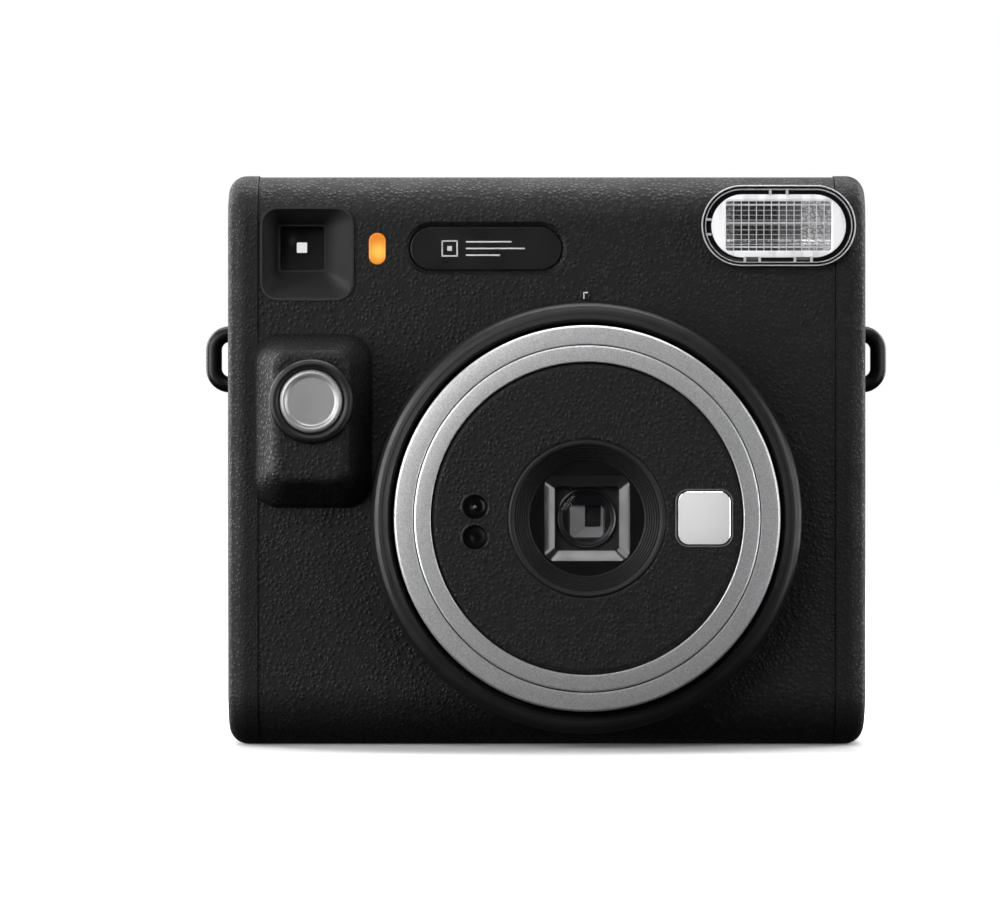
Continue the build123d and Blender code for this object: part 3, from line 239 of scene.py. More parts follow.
def flash_painted_reflections():
    """What shows through the flash's grid, in painted light: painted shade for the dark tube chamber, a
    painted reflection of the reflector at its right end and a painted highlight at its left end.
    """
    m = Shader("flash_painted_reflections", (0.3, 0.3, 0.3), 0.2, 0.3)
    split = m.node("ShaderNodeSeparateXYZ")
    m.link(m.place, split.inputs[0])
    across = split.outputs["X"]
    middle = FLASH.x * MM
    # Painted shade: the chamber is darker left of the middle.
    dim = m.ramp(across, middle - 0.4 * MM, middle + 0.2 * MM, 0.09, 0.28)
    # Painted reflection: a light band at the right end, where the reflector is.
    painted_right_reflection = m.ramp(across, middle + 4.4 * MM, middle + 5.2 * MM, 0.0, 0.75)
    # Painted highlight: a light band at the left end.
    left = m.ramp(across, middle - 9.6 * MM, middle - 9.2 * MM, 0.45, 0.0)
    facets = m.cells(1.35, "DISTANCE_TO_EDGE", m.warped(1.2, 1.1, m.stretched((1.0, 1.0, 1.5))))
    # The painted reflections are broken up into facets.
    painted_facet_mask = m.ramp(facets, 0.02, 0.2, 0.25, 1.0)
    painted_glints = m.math("MULTIPLY", m.math("ADD", painted_right_reflection, left), painted_facet_mask)
    tone = m.math("ADD", m.math("ADD", dim, painted_glints), m.ramp(m.noise(0.5, 3), 0.4, 0.75, -0.02, 0.09))
    m.colour(tone)
    m.bump(facets, 0.1, 0.5)
    return m.material


def glow_painted_white():
    """The translucent white border of the flash, a little grey in soft bands, with a painted glow: its
    emission makes it glow though it is no lamp.
    """
    # Its emission is a painted glow.
    m = Shader("glow_painted_white", (0.85, 0.85, 0.87), 0.25, Emission_Strength=0.36)
    m.set("Emission Color", (1, 1, 1, 1))
    bands = m.noise(2.4, 1, place=m.stretched((1.0, 1.0, 0.15)))
    m.colour(m.blend(m.ramp(bands, 0.35, 0.65, 0.0, 1.0), (0.55, 0.55, 0.59), (0.88, 0.88, 0.9)))
    m.bump(m.noise(0.9, 2), 0.02, 0.3)
    return m.material


def lamp_orange():
    """The indicator window, lit from behind by its lamp."""
    m = Shader("orange_window", (0.2, 0.06, 0.005), 0.3, Emission_Strength=1.0, Coat_Weight=0.3)
    low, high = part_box("indicator_lens")
    middle = (low + high) / 2
    away = m.node("ShaderNodeVectorMath", operation="DISTANCE")
    m.link(m.place, away.inputs[0])
    away.inputs[1].default_value = (middle.x + 0.3 * MM, low.y, middle.z - 0.7 * MM)
    glow = m.ramp(away.outputs["Value"], 0.2 * MM, 3.0 * MM, 1.0, 0.0)
    m.link(m.blend(glow, (0.72, 0.22, 0.02), (0.9, 0.56, 0.10)), m.shader.inputs["Emission Color"])
    m.bump(m.noise(0.5, 2), 0.02, 0.3)
    return m.material


def mirror():
    """A plastic mirror, a little hazy and faintly uneven in tone."""
    m = Shader("mirror", (0.93, 0.93, 0.94), 0.1, 1.0)
    m.rough(m.ramp(m.noise(6, 2), 0.3, 0.7, 0.098, 0.102))
    m.colour(m.blend(m.noise(9, 2), (0.92, 0.92, 0.93), (0.94, 0.94, 0.95)))
    return m.material


def felt():
    m = Shader("black_felt", (0.012, 0.012, 0.012), 0.95, Sheen_Weight=0.4, Sheen_Roughness=0.5)
    m.bump(m.noise(0.15, 4), 0.08, 0.9)
    m.colour(m.blend(m.noise(0.3, 3), (0.008, 0.008, 0.008), (0.022, 0.022, 0.022)))
    return m.material


def sleeve():
    """The printed sleeve of a battery: two plain bands of colour and a faint wrap seam."""
    m = Shader("battery_sleeve", (0.1, 0.1, 0.1), 0.3)
    split = m.node("ShaderNodeSeparateXYZ")
    m.link(m.place, split.inputs[0])
    low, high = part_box("batteries")
    length = high.x - low.x
    band = m.ramp(split.outputs["X"], low.x + 0.6 * length, low.x + 0.62 * length, 0.0, 1.0)
    m.colour(m.blend(band, (0.03, 0.03, 0.035), (0.45, 0.30, 0.08)))
    m.bump(m.noise(0.8, 2), 0.01, 0.3)
    return m.material


def board():
    m = Shader("board", (0.01, 0.09, 0.04), 0.35, Coat_Weight=0.3)
    trace = m.ramp(m.cells(2.6, "DISTANCE_TO_EDGE", m.stretched((1, 1, 0.4))), 0.04, 0.07, 0.0, 1.0)
    m.colour(m.blend(trace, (0.02, 0.16, 0.07), (0.008, 0.075, 0.035)))
    m.bump(trace, 0.02, 0.4)
    return m.material


def make_materials():
    black = (0.008, 0.008, 0.009)
    return {
        "leather": leather("black_leatherette", 0.95, 0.1),
        "side_leather": leather("side_leatherette", 0.8, 0.06),
        "black": plastic("black_plastic", black, 0.42),
        "satin": plastic("satin_black", (0.010, 0.010, 0.011), 0.3, grain=0.3, depth=0.004),
        "matt": plastic("matt_black", (0.008, 0.008, 0.008), 0.6, grain=0.12, depth=0.02),
        "piano": plastic("gloss_black", (0.004, 0.004, 0.005), 0.08, grain=4, depth=0.006, Coat_Weight=0.5),
        # A darker, duller copy of the black plastic: painted shade for the deep hood floor.
        "painted_shade_black": plastic("painted_shade_black", (0.002, 0.002, 0.002), 0.8, Specular_IOR_Level=0.15),
        "silver": silver_paint(),
        "button_silver": plastic("button_silver", (0.52, 0.52, 0.525), 0.38, depth=0.004, metallic=0.6),
        "finder": plastic("finder_plastic", (0.03, 0.03, 0.031), 0.4, grain=0.3, depth=0.004),
        "bevel": plastic("bevel_gloss", (0.02, 0.02, 0.021), 0.18, grain=0.5, depth=0.003, Coat_Weight=0.3),
        # Lighter than the bevel's own grey: partly its own tone, partly a painted highlight on the L-shaped
        # aperture bevel.
        "painted_highlight_grey": plastic("painted_highlight_grey", (0.32, 0.32, 0.33), 0.35, grain=0.5, depth=0.003),
        "pane_black": plastic("pane_black", (0.002, 0.002, 0.0025), 0.1, grain=4, depth=0.004),
        "steel": metal("steel", (0.5, 0.5, 0.49), 0.3, (0.05, 1, 1)),
        "dark_metal": metal("dark_metal", (0.035, 0.035, 0.037), 0.4),
        "mirror": mirror(),
        "reflector": metal("reflector", (0.9, 0.9, 0.91), 0.12, cell=0.8, depth=0.02),
        "clear": clear("clear_plastic", (0.6, 0.6, 0.62), 0.1),
        "edge": clear("clear_edge", (0.82, 0.82, 0.84), 0.85, 0.15),
        "glass": clear("coated_glass", (0.01, 0.01, 0.016), 0.22, 0.1, 1.5),
        "pane": clear("clear_pane", (0.02, 0.02, 0.02), 0.06),
        "smoked": clear("smoked_plastic", (0.01, 0.01, 0.01), 0.8),
        "flash_painted_reflections": flash_painted_reflections(),
        "glow_painted_white": glow_painted_white(),
        "grid": plastic("grid_white", (0.7, 0.7, 0.72), 0.2, grain=0.8, depth=0.004),
        "grey_satin": plastic("grey_satin", (0.11, 0.11, 0.115), 0.3, grain=0.5, depth=0.004),
        "gear": plastic("gear_plastic", (0.62, 0.61, 0.57), 0.4),
        "board": board(),
        "sleeve": sleeve(),
        "felt": felt(),
        "foam": plastic("foam", (0.02, 0.02, 0.02), 0.9, grain=0.4, depth=0.12),
        "film_black": plastic("film_back", (0.02, 0.02, 0.022), 0.35, grain=2, depth=0.01),
        "white_plastic": plastic("white_plastic", (0.75, 0.75, 0.72), 0.4),
        "orange": lamp_orange(),
        "paint_white": plastic("printed_white", (0.75, 0.75, 0.75), 0.45),
    }


MAT = make_materials()


# ---- mesh helpers ---------------------------------------------------------------------
BOX_FACES = ((0, 1, 3, 2), (4, 6, 7, 5), (0, 4, 5, 1), (2, 3, 7, 6), (0, 2, 6, 4), (1, 5, 7, 3))


def build(name, verts, faces, material, body, stands_for=(), smooth=40):
    """A mesh object from millimetre coordinates, riding on a CAD body."""
    mesh = bpy.data.meshes.new(name)
    mesh.from_pydata([Vector(v) * MM for v in verts], [], faces)
    work = bmesh.new()
    work.from_mesh(mesh)
    bmesh.ops.remove_doubles(work, verts=work.verts, dist=0.001 * MM)
    bmesh.ops.recalc_face_normals(work, faces=work.faces)
    work.to_mesh(mesh)
    work.free()
    mesh.materials.append(MAT[material])
    for polygon in mesh.polygons:
        polygon.use_smooth = True
    mesh.set_sharp_from_angle(angle=math.radians(smooth))
    piece = bpy.data.objects.new(name, mesh)
    bpy.context.scene.collection.objects.link(piece)
    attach(piece, body)
    if stands_for:
        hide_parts(*stands_for)
    return piece


def soften(points, radius, closed=True, steps=4):
    """The polygon with each corner rounded. A corner between short sides gets a smaller radius."""
    result = []
    count = len(points)
    for i, here in enumerate(points):
        if not closed and i in (0, count - 1):
            result.append(tuple(here))
            continue
        p = Vector(here)
        before, after = Vector(points[i - 1]) - p, Vector(points[(i + 1) % count]) - p
        a, b = before.length, after.length
        cosine = before.dot(after) / (a * b) if a > 1e-6 and b > 1e-6 else -1.0
        half = math.acos(max(-1.0, min(1.0, cosine))) / 2
        if half > math.radians(88):
            result.append(tuple(here))
            continue
        reach = min(radius / math.tan(half), a * 0.45, b * 0.45)
        start, end = p + before.normalized() * reach, p + after.normalized() * reach
        for k in range(steps + 1):
            t = k / steps
            result.append(tuple(start * (1 - t) ** 2 + p * 2 * t * (1 - t) + end * t ** 2))
    return result


def lathe(name, profile, material, body, stands_for=(), x=None, z=None, radius=0.2, segments=256):
    """A closed profile of (radius, y) turned about an axis along Y."""
    x = LENS.x if x is None else x
    z = LENS.z if z is None else z
    outline = soften(profile, radius)
    verts, faces = [], []
    n = len(outline)
    for i in range(segments):
        a = 2 * math.pi * i / segments
        for r, y in outline:
            verts.append((x + r * math.cos(a), y, z + r * math.sin(a)))
    for i in range(segments):
        j = (i + 1) % segments
        for k in range(n):
            m = (k + 1) % n
            faces.append((i * n + k, i * n + m, j * n + m, j * n + k))
    return build(name, verts, faces, material, body, stands_for)


def behind(base, points):
    """The points with their last value, a depth behind base, turned into a y."""
    return [(*rest, base + depth) for *rest, depth in points]


def frame_loop(w, h, r, x, y, z, steps=12):
    """Points round a rectangle with round corners, seen from the front."""
    r = min(r, w / 2 - 0.01, h / 2 - 0.01)
    points = []
    for sx, sz, start in ((1, 1, 0), (-1, 1, 90), (-1, -1, 180), (1, -1, 270)):
        for k in range(steps + 1):
            a = math.radians(start + 90 * k / steps)
            points.append((x + sx * (w / 2 - r) + r * math.cos(a), y, z + sz * (h / 2 - r) + r * math.sin(a)))
    return points


def frame_loops(sizes, x, z, base, steps=12):
    """Loops from widths, heights, corner radii and depths behind base."""
    return [frame_loop(w, h, r, x, y, z, steps) for w, h, r, y in behind(base, sizes)]


def skin(name, loops, material, body, stands_for=(), closed=False, caps=(False, False), smooth=40):
    """A surface through loops that have the same number of points."""
    n = len(loops[0])
    verts = [p for loop in loops for p in loop]
    faces = []
    rows = len(loops)
    for i in range(rows if closed else rows - 1):
        j = (i + 1) % rows
        for k in range(n):
            m = (k + 1) % n
            faces.append((i * n + k, i * n + m, j * n + m, j * n + k))
    if caps[0]:
        faces.append(tuple(range(n)))
    if caps[1]:
        faces.append(tuple((rows - 1) * n + k for k in range(n)))
    return build(name, verts, faces, material, body, stands_for, smooth)


def tubed_frame(name, steps, material, body, x, z, stands_for=(), radius=0.2, closed=True):
    """A surface through rounded rectangles. Each step is (width, height, corner radius, y)."""
    profile = soften([(w, h, r, y) for w, h, r, y in steps], radius, closed)
    loops = [frame_loop(w, h, r, x, y, z) for w, h, r, y in profile]
    return skin(name, loops, material, body, stands_for, closed)


# ---- lens -----------------------------------------------------------------------------
def make_rings():
    """The turning ring and the fixed ring inside it. Both fall away a little towards their outer edges."""
    inner, outer, skirt_end = 36.05, 40.0, -21.05
    profile = behind(DIAL_Y, [(inner, 1.3), (inner, 0.2), (inner + 0.16, 0.03), (outer - 0.42, 0.42),
                              (outer - 0.05, 0.75), (outer, 1.2)])
    profile += [(outer, skirt_end), (outer - 0.35, skirt_end + 0.05), (outer - 1.1, skirt_end + 0.05),
                (outer - 1.1, DIAL_Y + 1.3)]
    lathe("dial_ring_detail", profile, "silver", "lens_dial", ("dial_ring",), radius=0.12)
    inner, outer = 32.36, 35.82
    profile = behind(RING_Y, [(inner, 1.7), (inner, 0.22), (inner + 0.16, 0.05), (outer - 0.32, 0.36),
                              (outer - 0.03, 0.5), (outer, 0.9), (outer, 1.7)])
    lathe("trim_ring_detail", profile, "silver", "lens_barrel", ("barrel_trim_ring",), radius=0.12)


def make_hood():
    """The stepped round hood, its flat floor and the square funnel sunk into it."""
    ridges, first, last, bore = 6, 12.0, 14.9, 11.9
    low_y, high_y = HOOD_Y + 3.2, HOOD_Y + 0.75
    profile = behind(HOOD_Y, [(bore, 4.6), (bore, 3.35)])
    for i in range(ridges):
        inside = first + (last - first) * i / ridges
        outside = first + (last - first) * (i + 1) / ridges
        y = low_y + (high_y - low_y) * i / ridges
        profile += behind(y, [(inside + 0.07, 0), (outside - 0.14, -0.36), (outside - 0.02, -0.12)])
    profile += behind(HOOD_Y, [(15.05, 0.6), (15.45, 0.26), (15.95, 0.16), (16.4, 0.55), (16.4, 4.6)])
    lathe("hood_ring", profile, "matt", "lens_barrel", radius=0.2)
    floor, depth = HOOD_Y + 3.4, SEAT_DEPTH - 3.4
    disc, side, throat = 25.0, 17.9, 12.9
    hole = side + 0.02
    loops = frame_loops([(disc, disc, 12.4, depth), (disc, disc, 12.4, 0), (hole, hole, 2.3, 0),
                         (hole, hole, 2.3, depth)], LENS.x, LENS.z, floor)
    # The hood floor is painted shade: a near-black with little gloss.
    skin("hood_floor", loops, "painted_shade_black", "lens_barrel", closed=True)
    steps = behind(floor, [(side, side, 2.3, depth), (side, side, 2.3, 0),
                           (side - 0.3, side - 0.3, 2.2, 0.06), (throat + 0.5, throat + 0.5, 0.9, 0.95),
                           (throat, throat, 0.5, 1.3), (throat, throat, 0.5, depth)])
    tubed_frame("hood_funnel", steps, "bevel", "lens_barrel", LENS.x, LENS.z, ("lens_hood",))


def dome(name, x, z, radius, apex, bulge, material, body, stands_for=(), segments=96, rings=12):
    """A shallow glass cap, open at the back."""
    sphere = (radius * radius + bulge * bulge) / 2 / bulge
    verts, faces = [(x, apex, z)], []
    for k in range(1, rings + 1):
        r = radius * k / rings
        y = apex + sphere - math.sqrt(sphere * sphere - r * r)
        for i in range(segments):
            a = 2 * math.pi * i / segments
            verts.append((x + r * math.cos(a), y, z + r * math.sin(a)))
    for i in range(segments):
        j = (i + 1) % segments
        faces.append((0, 1 + i, 1 + j))
        for k in range(rings - 1):
            a = 1 + k * segments
            faces.append((a + i, a + segments + i, a + segments + j, a + j))
    return build(name, verts, faces, material, body, stands_for, smooth=30)


def make_front_lens():
    """The front glass in its cell, over the stepped baffle that frames the aperture."""
    seat = HOOD_Y + SEAT_DEPTH
    glass_r, rim_r = 5.75, 6.42
    dome("front_glass", LENS.x, LENS.z, glass_r, seat - 0.9, 0.9, "glass", "lens_barrel", ("lens_elements",))
    cell = behind(seat, [(5.0, 0.3), (5.6, 0.15), (glass_r, -0.25), (6.0, -0.4), (rim_r, -0.3), (rim_r, 1.9),
                         (5.0, 1.9)])
    lathe("lens_cell", cell, "satin", "lens_barrel", radius=0.1, segments=128)
    x, z = LENS.x, LENS.z - 0.65
    step = (6.9, 6.7, 0.9, 1.1)
    loops = frame_loops([(12.0, 12.0, 1.0, 0.9)], LENS.x, LENS.z, seat)
    loops += frame_loops([(7.5, 7.3, 1.2, 0.85), (7.1, 6.9, 1.0, 0.95), step], x, z, seat)
    skin("lens_baffle", loops, "satin", "lens_barrel")
    outer = frame_loops([step], x, z, seat)
    middle, inner = frame_loops([(3.3, 4.7, 0.5, 2.3), (3.0, 4.3, 0.4, 3.2)], x + 1.3, z + 1.15, seat)
    # The grey here is partly the bevel's own tone and partly a painted highlight.
    skin("aperture_bevel", [*outer, middle], "painted_highlight_grey", "lens_barrel")
    skin("aperture_throat", [middle, inner], "matt", "lens_barrel", caps=(False, True))


def make_sensors():
    """The two sensor windows in the lens face, the upper one with a small lens in it."""
    low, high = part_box("sensor_windows")
    x = (low.x + high.x) / 2 / MM
    radius = (high.x - low.x) / 2 / MM
    rim = behind(FACE_Y, [(2.52, 0.75), (2.52, 0.4), (2.86, -0.02), (2.98, 0.02), (3.02, 0.3), (2.98, 0.75)])
    pane = behind(FACE_Y, [(0.02, 0.55), (2.5, 0.55), (2.5, 0.7), (0.02, 0.7)])
    for name, z in (("upper", high.z / MM - radius), ("lower", low.z / MM + radius)):
        stands_for = ("sensor_windows",) if name == "upper" else ()
        lathe(f"sensor_rim_{name}", rim, "bevel", "lens_barrel", x=x, z=z, radius=0.06, segments=96)
        lathe(f"sensor_pane_{name}", pane, "pane_black", "lens_barrel", stands_for, x, z, 0.03, 96)
        if name == "upper":
            apex, bulge = FACE_Y + 0.4, 0.16
            dome("sensor_lens", x, z, 0.38, apex, bulge, "grey_satin", "lens_barrel", segments=48, rings=8)


def make_mirror():
    """The small self-portrait mirror in its chamfered rim."""
    x, z = MIRROR.x, MIRROR.z
    rim = behind(FACE_Y, [(11.95, 12.05, 2.6, 0.3), (11.9, 12.0, 2.6, -0.02), (11.7, 11.8, 2.5, -0.08),
                          (11.35, 11.45, 2.35, -0.01), (11.3, 11.4, 2.3, 0.3)])
    tubed_frame("mirror_rim", rim, "grey_satin", "lens_barrel", x, z, radius=0.05)
    # A near-black ring in the gap round the mirror: painted shade in the gap.
    loops = frame_loops([(11.4, 11.5, 2.35, 0.3), (11.4, 11.5, 2.35, -0.012), (10.4, 10.6, 2.2, -0.012),
                         (10.4, 10.6, 2.2, 0.3)], x, z, FACE_Y)
    skin("mirror_shade_ring", loops, "pane_black", "lens_barrel", closed=True)
    loops = frame_loops([(10.75, 10.95, 2.2, 0.5), (10.75, 10.95, 2.2, -0.02), (10.6, 10.8, 2.12, -0.05),
                         (10.5, 10.7, 2.07, -0.05)], x, z, FACE_Y)
    skin("mirror_glass", loops, "mirror", "lens_barrel", ("selfie_mirror",), caps=(True, True), smooth=15)


def make_button_collar():
    """The broad smooth ring round the release button."""
    low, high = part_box("button_collar")
    crest, back, outer = low.y / MM, high.y / MM, (high.x - low.x) / 2 / MM
    inner = (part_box("shutter_button")[1].x / MM - BUTTON.x) + 0.12
    width = outer - inner
    profile = [(inner, back), (inner, crest + 0.7), (inner + 0.2 * width, crest + 0.2),
               (inner + 0.5 * width, crest), (inner + 0.78 * width, crest + 0.2), (outer, crest + 0.75),
               (outer, back)]
    lathe("button_ring", profile, "black", "housing", ("button_collar",), BUTTON.x, BUTTON.z, 0.6, 128)


def make_lip():
    """The rounded lip of the cover round the dial, a little prouder than the cover's own."""
    inner, outer, depth = 40.9, 44.8, 4.0
    profile = behind(front_of("front_cover"), [
        (inner, depth), (inner, 1.1), (41.4, -0.1), (42.5, -0.6), (43.4, -0.4), (44.2, 0.15), (44.75, 1.1),
        (outer, depth)])
    lathe("cover_lip", profile, "black", "housing", radius=0.5)


make_lip()
make_rings()
make_hood()
make_front_lens()
make_sensors()
make_mirror()
make_button_collar()


# ---- flash ----------------------------------------------------------------------------
def band(name, w, h, base, profile, material, x, z, stands_for=()):
    """A closed profile of insets and depths behind base, carried round a stadium of width w and height h."""
    outline = soften(behind(base, profile), 0.08)
    loops = [frame_loop(w - 2 * inset, h - 2 * inset, h, x, y, z, 20) for inset, y in outline]
    skin(name, loops, material, "housing", stands_for, closed=True)


def bars(name, spans, y0, y1, material, body):
    """Small round-edged bars, each given as x0, x1, z0, z1, in one mesh."""
    verts, faces = [], []
    for x0, x1, z0, z1 in spans:
        n = len(verts)
        verts += [(x, y, z) for x in (x0, x1) for y in (y0, y1) for z in (z0, z1)]
        faces += [tuple(n + k for k in face) for face in BOX_FACES]
    piece = build(name, verts, faces, material, body)
    rounding = piece.modifiers.new("edges", "BEVEL")
    rounding.width = 0.08 * MM
    rounding.segments = 2


def make_flash_rims(x, z, w, h, front):
    """The clear lines round the flash, the dark gap inside them and the ribs across it."""
    depth, rim, bead, well = 1.6, 0.32, 0.75, 0.95
    band("flash_rim", w, h, front, [(0.0, depth), (0.0, 0.4), (0.06, 0.1), (0.16, 0), (0.26, 0.1), (rim, 0.4),
                                    (rim, depth)], "edge", x, z, ("flash_window",))
    band("flash_step", w, h, front, [(rim, depth), (rim, 0.75), (bead, 0.75), (bead, depth)], "satin", x, z)
    band("flash_bead", w, h, front, [(bead, depth), (bead + 0.01, 0.45), (bead + 0.1, 0.3),
                                     (well - 0.01, 0.45), (well, depth)], "edge", x, z)
    band("flash_well", w, h, front, [(well, depth), (2.12, depth), (2.12, 3.4), (well, 3.4)], "piano", x, z)
    left, bottom, top = x - w / 2, z - h / 2, z + h / 2
    start, end, half, rib_back = 0.9, 2.1, 0.26, front + 1.65
    spans = [(x + d - half, x + d + half, top - end, top - start) for d in (-1.76, 1.76)]
    spans += [(x + d - half, x + d + half, bottom + start, bottom + end) for d in (-7.1, -4.0, 3.4, 6.9)]
    spans += [(left + start, left + end, z + d - half, z + d + half) for d in (1.3, -1.8)]
    bars("flash_ribs", spans, front + 0.5, rib_back, "edge", "housing")
    tabs = [(x + a + half, x + b - half, bottom + 1.3, bottom + end) for a, b in ((-7.1, -4.0), (3.4, 6.9))]
    bars("flash_tabs", tabs, front + 0.9, rib_back, "grey_satin", "housing")


def make_flash_panel(x, z, front):
    """The white border with its painted glow, the hollow reflector behind it with its painted reflections and
    shade, and the fine grid in front of that.
    """
    panel_w, panel_h, window_w, window_h = 28.2, 13.2, 22.1, 10.4
    steps = [(panel_w, panel_h, panel_h, 2.4), (panel_w, panel_h, panel_h, 1.0),
             (panel_w - 0.3, panel_h - 0.3, panel_h, 0.8), (window_w + 0.7, window_h + 0.7, 0.9, 0.72),
             (window_w, window_h, 0.5, 0.95), (window_w, window_h, 0.5, 2.4)]
    loops = frame_loops(soften(steps, 0.15), x, z, front, 20)
    skin("flash_frame", loops, "glow_painted_white", "housing", closed=True)
    columns, rows, rim, hollow = 48, 20, front + 2.2, 1.6
    verts, faces = [], []
    for j in range(rows + 1):
        for i in range(columns + 1):
            u, v = i / columns - 0.5, j / rows - 0.5
            verts.append((x + u * window_w, rim + hollow * (1 - (2 * v) ** 2), z + v * window_h))
    for j in range(rows):
        for i in range(columns):
            a = j * (columns + 1) + i
            faces.append((a, a + 1, a + columns + 2, a + columns + 1))
    build("flash_mirror", verts, faces, "flash_painted_reflections", "housing", ("flash_reflector",))
    left, right, bottom, top = x - window_w / 2, x + window_w / 2, z - window_h / 2, z + window_h / 2
    places = [x - 9.4 + 1.58 * i for i in range(13)]
    uprights = [(u - 0.09, u + 0.09, bottom, top) for u in places if u < right - 0.5]
    lines = [(0.2 + 1.02 * i, 0.055) for i in range(-4, 5)] + [(4.42, 0.19), (-4.42, 0.19), (0.62, 0.2)]
    levels = [(left, right, z + v - half, z + v + half) for v, half in lines]
    bars("flash_grid_upright", uprights, front + 1.15, front + 1.5, "grid", "housing")
    bars("flash_grid_level", levels, front + 1.3, front + 1.7, "grid", "housing")


def make_flash():
    """The flash: a clear rim, a dark gap crossed by ribs, and a white frame round a ribbed screen."""
    low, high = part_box("flash_window")
    w, h = (high.x - low.x) / MM, (high.z - low.z) / MM
    x, z, front = FLASH.x, FLASH.z, low.y / MM
    make_flash_rims(x, z, w, h, front)
    make_flash_panel(x, z, front)
    sizes = [(w - 0.7, h - 0.7, h, 0.42), (w - 1.2, h - 1.2, h, 0.36), (w - 8.0, h - 8.0, h, 0.3),
             (w - 16.4, 0.4, h, 0.28)]
    skin("flash_cover", frame_loops(sizes, x, z, front, 20), "pane", "housing", caps=(False, True))


make_flash()


# ---- small front details --------------------------------------------------------------
def make_emblem():
    """A plain pictogram on the nameplate: a framed square and three bars."""
    y = front_of("nameplate")
    x, z, half, line = PLATE.x - 7.6, PLATE.z, 1.7, 0.28
    dot, bar_half, pitch = 0.5, 0.16, 1.4
    spans = [(x - half, x + half, z + half - line, z + half), (x - half, x + half, z - half, z - half + line),
             (x - half, x - half + line, z - half, z + half), (x + half - line, x + half, z - half, z + half),
             (x - dot, x + dot, z - dot, z + dot)]
    for k, length in enumerate((9.6, 12.4, 7.2)):
        v = z + pitch - pitch * k
        spans.append((x + 3.4, x + 3.4 + length, v - bar_half, v + bar_half))
    bars("nameplate_pictogram", spans, y - 0.09, y + 0.05, "paint_white", "housing")


def make_index_mark():
    """The printed tick over the lens, on the cover's raised dot."""
    y = front_of("nameplate") - 0.45 - 0.34
    x, z = LENS.x, LENS.z + 46.6
    spans = [(x - 0.55, x - 0.3, z - 0.75, z + 0.75), (x - 0.5, x + 0.45, z + 0.5, z + 0.75)]
    bars("index_mark", spans, y, y + 0.1, "paint_white", "housing")


def make_counter_marks():
    """Short strokes on the counter disc, one of them longer, in place of its figures."""
    low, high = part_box("counter_disc")
    middle, rear = centre("counter_disc"), high.y / MM
    outer = (high.x - low.x) / 2 / MM - 0.5
    marks, half, proud = 10, 0.16, 0.04
    verts, faces = [], []
    for i in range(marks):
        a = 2 * math.pi * i / marks
        out, across = Vector((math.cos(a), 0, math.sin(a))), Vector((-math.sin(a), 0, math.cos(a)))
        inner = outer - (1.8 if i % 5 else 2.8)
        n = len(verts)
        for r in (inner, outer):
            for side in (-half, half):
                for y in (rear - proud, rear + proud):
                    spot = out * r + across * side
                    verts.append((middle.x + spot.x, y, middle.z + spot.z))
        faces += [tuple(n + k for k in face) for face in BOX_FACES]
    build("counter_marks", verts, faces, "black", "counter_disc")


make_emblem()
make_index_mark()
make_counter_marks()


# ---- CAD nodes that keep their shape --------------------------------------------------
FINISH = {
    "leather": ("front_cover", "rear_cover", "lens_face_plate", "back_door", "shutter_housing"),
    "side_leather": ("left_side_cover", "right_side_cover"),
    "black": ("button_collar", "battery_cover", "door_latch", "flash_housing"),
    "matt": ("viewfinder_tunnel", "light_box", "cam_tube", "dial_tube", "lens_barrel", "film_chamber",
             "film_pack_case", "battery_case", "shutter_body", "shutter_cover"),
    "satin": ("lens_hood", "nameplate"),
    "finder": ("viewfinder_bezel",),
    "dark_metal": ("strap_lugs", "base_screws", "roller_frame", "barrel_retaining_ring", "shutter_blade_left",
                   "shutter_blade_right"),
    "steel": ("film_motor", "motor_pinion", "spread_roller_front", "spread_roller_rear", "film_claw",
              "door_hinge_pin", "button_spring"),
    "silver": ("dial_ring", "barrel_trim_ring"),
    "button_silver": ("shutter_button",),
    "clear": ("flash_window", "counter_window"),
    "glass": ("lens_elements",),
    "pane": ("viewfinder_lenses", "flash_tube"),
    "smoked": ("door_window", "sensor_windows"),
    "reflector": ("flash_reflector",),
    "mirror": ("selfie_mirror",),
    "orange": ("indicator_lens",),
    "gear": ("idler_gear", "roller_gear_front", "roller_gear_rear"),
    "board": ("circuit_board",),
    "sleeve": ("batteries",),
    "felt": ("film_exit_felt",),
    "foam": ("door_foam",),
    "film_black": ("film_sheet", "film_stack"),
    "white_plastic": ("counter_disc",),
}
for finish, names in FINISH.items():
    for node in names:
        slots = NODES[node].material_slots
        if not slots:
            NODES[node].data.materials.append(MAT[finish])
        for slot in NODES[node].material_slots:
            slot.material = MAT[finish]


# ---- stage ----------------------------------------------------------------------------
CAMERA_PLACE, CAMERA_LENS = (-0.00983, -1.110, 0.0601), 188.1
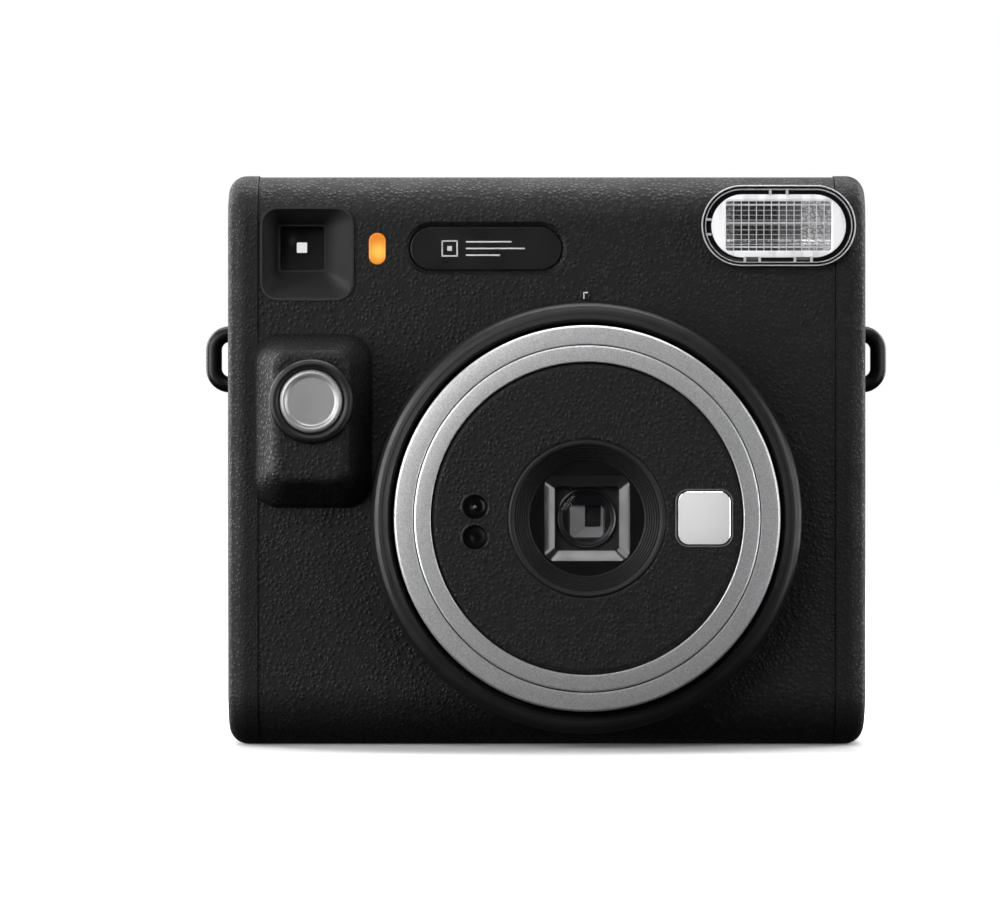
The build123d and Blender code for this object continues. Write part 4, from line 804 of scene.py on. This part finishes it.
# The floor's painted shadow: the body's footprint and the reach of the painted shadow in front of it.
FOOTPRINT, PAINTED_SHADOW_LENGTH = (0.062, 0.026, 0), 0.075    # half sizes, and how far in front the shadow runs
BODY_MIDDLE = (0, 0, 0.06)
LIGHTS = (   # name, place and target in metres, width and height, watts
    ("top", (0.0, 0.2, 0.78), BODY_MIDDLE, (0.9, 0.5), 8),
    ("left_strip", (-0.88, -0.4, 0.2), BODY_MIDDLE, (0.3, 0.9), 8),
    ("right_strip", (0.8, -0.25, 0.15), BODY_MIDDLE, (0.15, 0.7), 2.2),
    ("left_rim", (-0.7, 0.5, 0.3), BODY_MIDDLE, (0.3, 0.9), 8),
    ("right_rim", (0.7, 0.5, 0.3), BODY_MIDDLE, (0.3, 0.9), 6),
    ("front_fill", (-0.8, -1.45, 0.7), BODY_MIDDLE, (0.7, 0.7), 6),
    ("left_glint", (-0.6, -0.62, 0.06), BODY_MIDDLE, (0.12, 0.5), 1.0),
    ("right_glint", (0.6, -0.62, 0.06), BODY_MIDDLE, (0.12, 0.5), 1.0),
    ("top_glint", (0.0, -0.6, 0.66), BODY_MIDDLE, (0.5, 0.12), 1.2),
    ("back_fill", (-0.3, 1.3, 0.6), BODY_MIDDLE, (0.9, 0.9), 6),
    ("mirror_card", (0.066, -1.27, 0.06), (0.032, 0, 0.048), (0.075, 0.095), 0.0225),
)


def make_floor():
    """A white floor with a painted shadow: its emission is low round the camera body's footprint and grows
    away from it, so that it runs into the white backdrop.
    """
    half = 6.0
    corners = [(-half, -half, 0), (half, -half, 0), (half, half, 0), (-half, half, 0)]
    mesh = bpy.data.meshes.new("floor")
    mesh.from_pydata(corners, [], [(0, 1, 2, 3)])
    floor = bpy.data.objects.new("floor", mesh)
    bpy.context.scene.collection.objects.link(floor)
    floor.visible_diffuse = False
    floor.visible_glossy = False
    m = Shader("floor", (0.8, 0.8, 0.8), 0.9)
    source = m.place
    steps = (("ABSOLUTE", None), ("SUBTRACT", FOOTPRINT), ("MAXIMUM", (0, 0, 0)), ("MULTIPLY", (5, 1, 1)))
    for operation, value in steps:
        step = m.node("ShaderNodeVectorMath", operation=operation)
        m.link(source, step.inputs[0])
        if value:
            step.inputs[1].default_value = value
        source = step.outputs["Vector"]
    away = m.node("ShaderNodeVectorMath", operation="LENGTH")
    m.link(source, away.inputs[0])
    # Emission from 0.02 at the footprint to 1.1 further off: painted shadow round the body.
    m.link(m.ramp(away.outputs["Value"], 0.0, PAINTED_SHADOW_LENGTH, 0.02, 1.1), m.shader.inputs["Emission Strength"])
    m.set("Emission Color", (1, 1, 1, 1))
    m.colour(m.blend(m.noise(300, 2), (0.8, 0.8, 0.8), (0.82, 0.82, 0.82)))
    mesh.materials.append(m.material)


def area(name, place, target, size, power):
    """A soft rectangular light that points at the target."""
    data = bpy.data.lights.new(name, "AREA")
    data.shape = "RECTANGLE"
    data.size, data.size_y = size
    data.energy = power
    light = bpy.data.objects.new(name, data)
    light.location = place
    light.rotation_euler = (Vector(target) - Vector(place)).to_track_quat("-Z", "Y").to_euler()
    bpy.context.scene.collection.objects.link(light)


def make_world():
    """White to the camera, and a dim soft grey as light."""
    world = bpy.data.worlds.new("studio")
    world.use_nodes = True
    bpy.context.scene.world = world
    tree = world.node_tree
    backdrop = tree.nodes["Background"]
    backdrop.inputs["Color"].default_value = (1, 1, 1, 1)
    backdrop.inputs["Strength"].default_value = 1.0
    dim = tree.nodes.new("ShaderNodeBackground")
    dim.inputs["Color"].default_value = (1, 1, 1, 1)
    dim.inputs["Strength"].default_value = 0.03
    rays = tree.nodes.new("ShaderNodeLightPath")
    mix = tree.nodes.new("ShaderNodeMixShader")
    tree.links.new(rays.outputs["Is Camera Ray"], mix.inputs["Fac"])
    tree.links.new(dim.outputs[0], mix.inputs[1])
    tree.links.new(backdrop.outputs[0], mix.inputs[2])
    tree.links.new(mix.outputs[0], tree.nodes["World Output"].inputs["Surface"])


def make_camera():
    data = bpy.data.cameras.new("camera")
    data.sensor_width = 36
    data.lens = CAMERA_LENS
    camera = bpy.data.objects.new("camera", data)
    camera.location = CAMERA_PLACE
    camera.rotation_euler = (math.radians(90), 0, 0)
    bpy.context.scene.collection.objects.link(camera)
    bpy.context.scene.camera = camera


def make_stage():
    make_floor()
    make_world()
    make_camera()
    for name, place, target, size, power in LIGHTS:
        area(name, place, target, size, power)
    bpy.context.scene.view_settings.view_transform = "Standard"


make_stage()
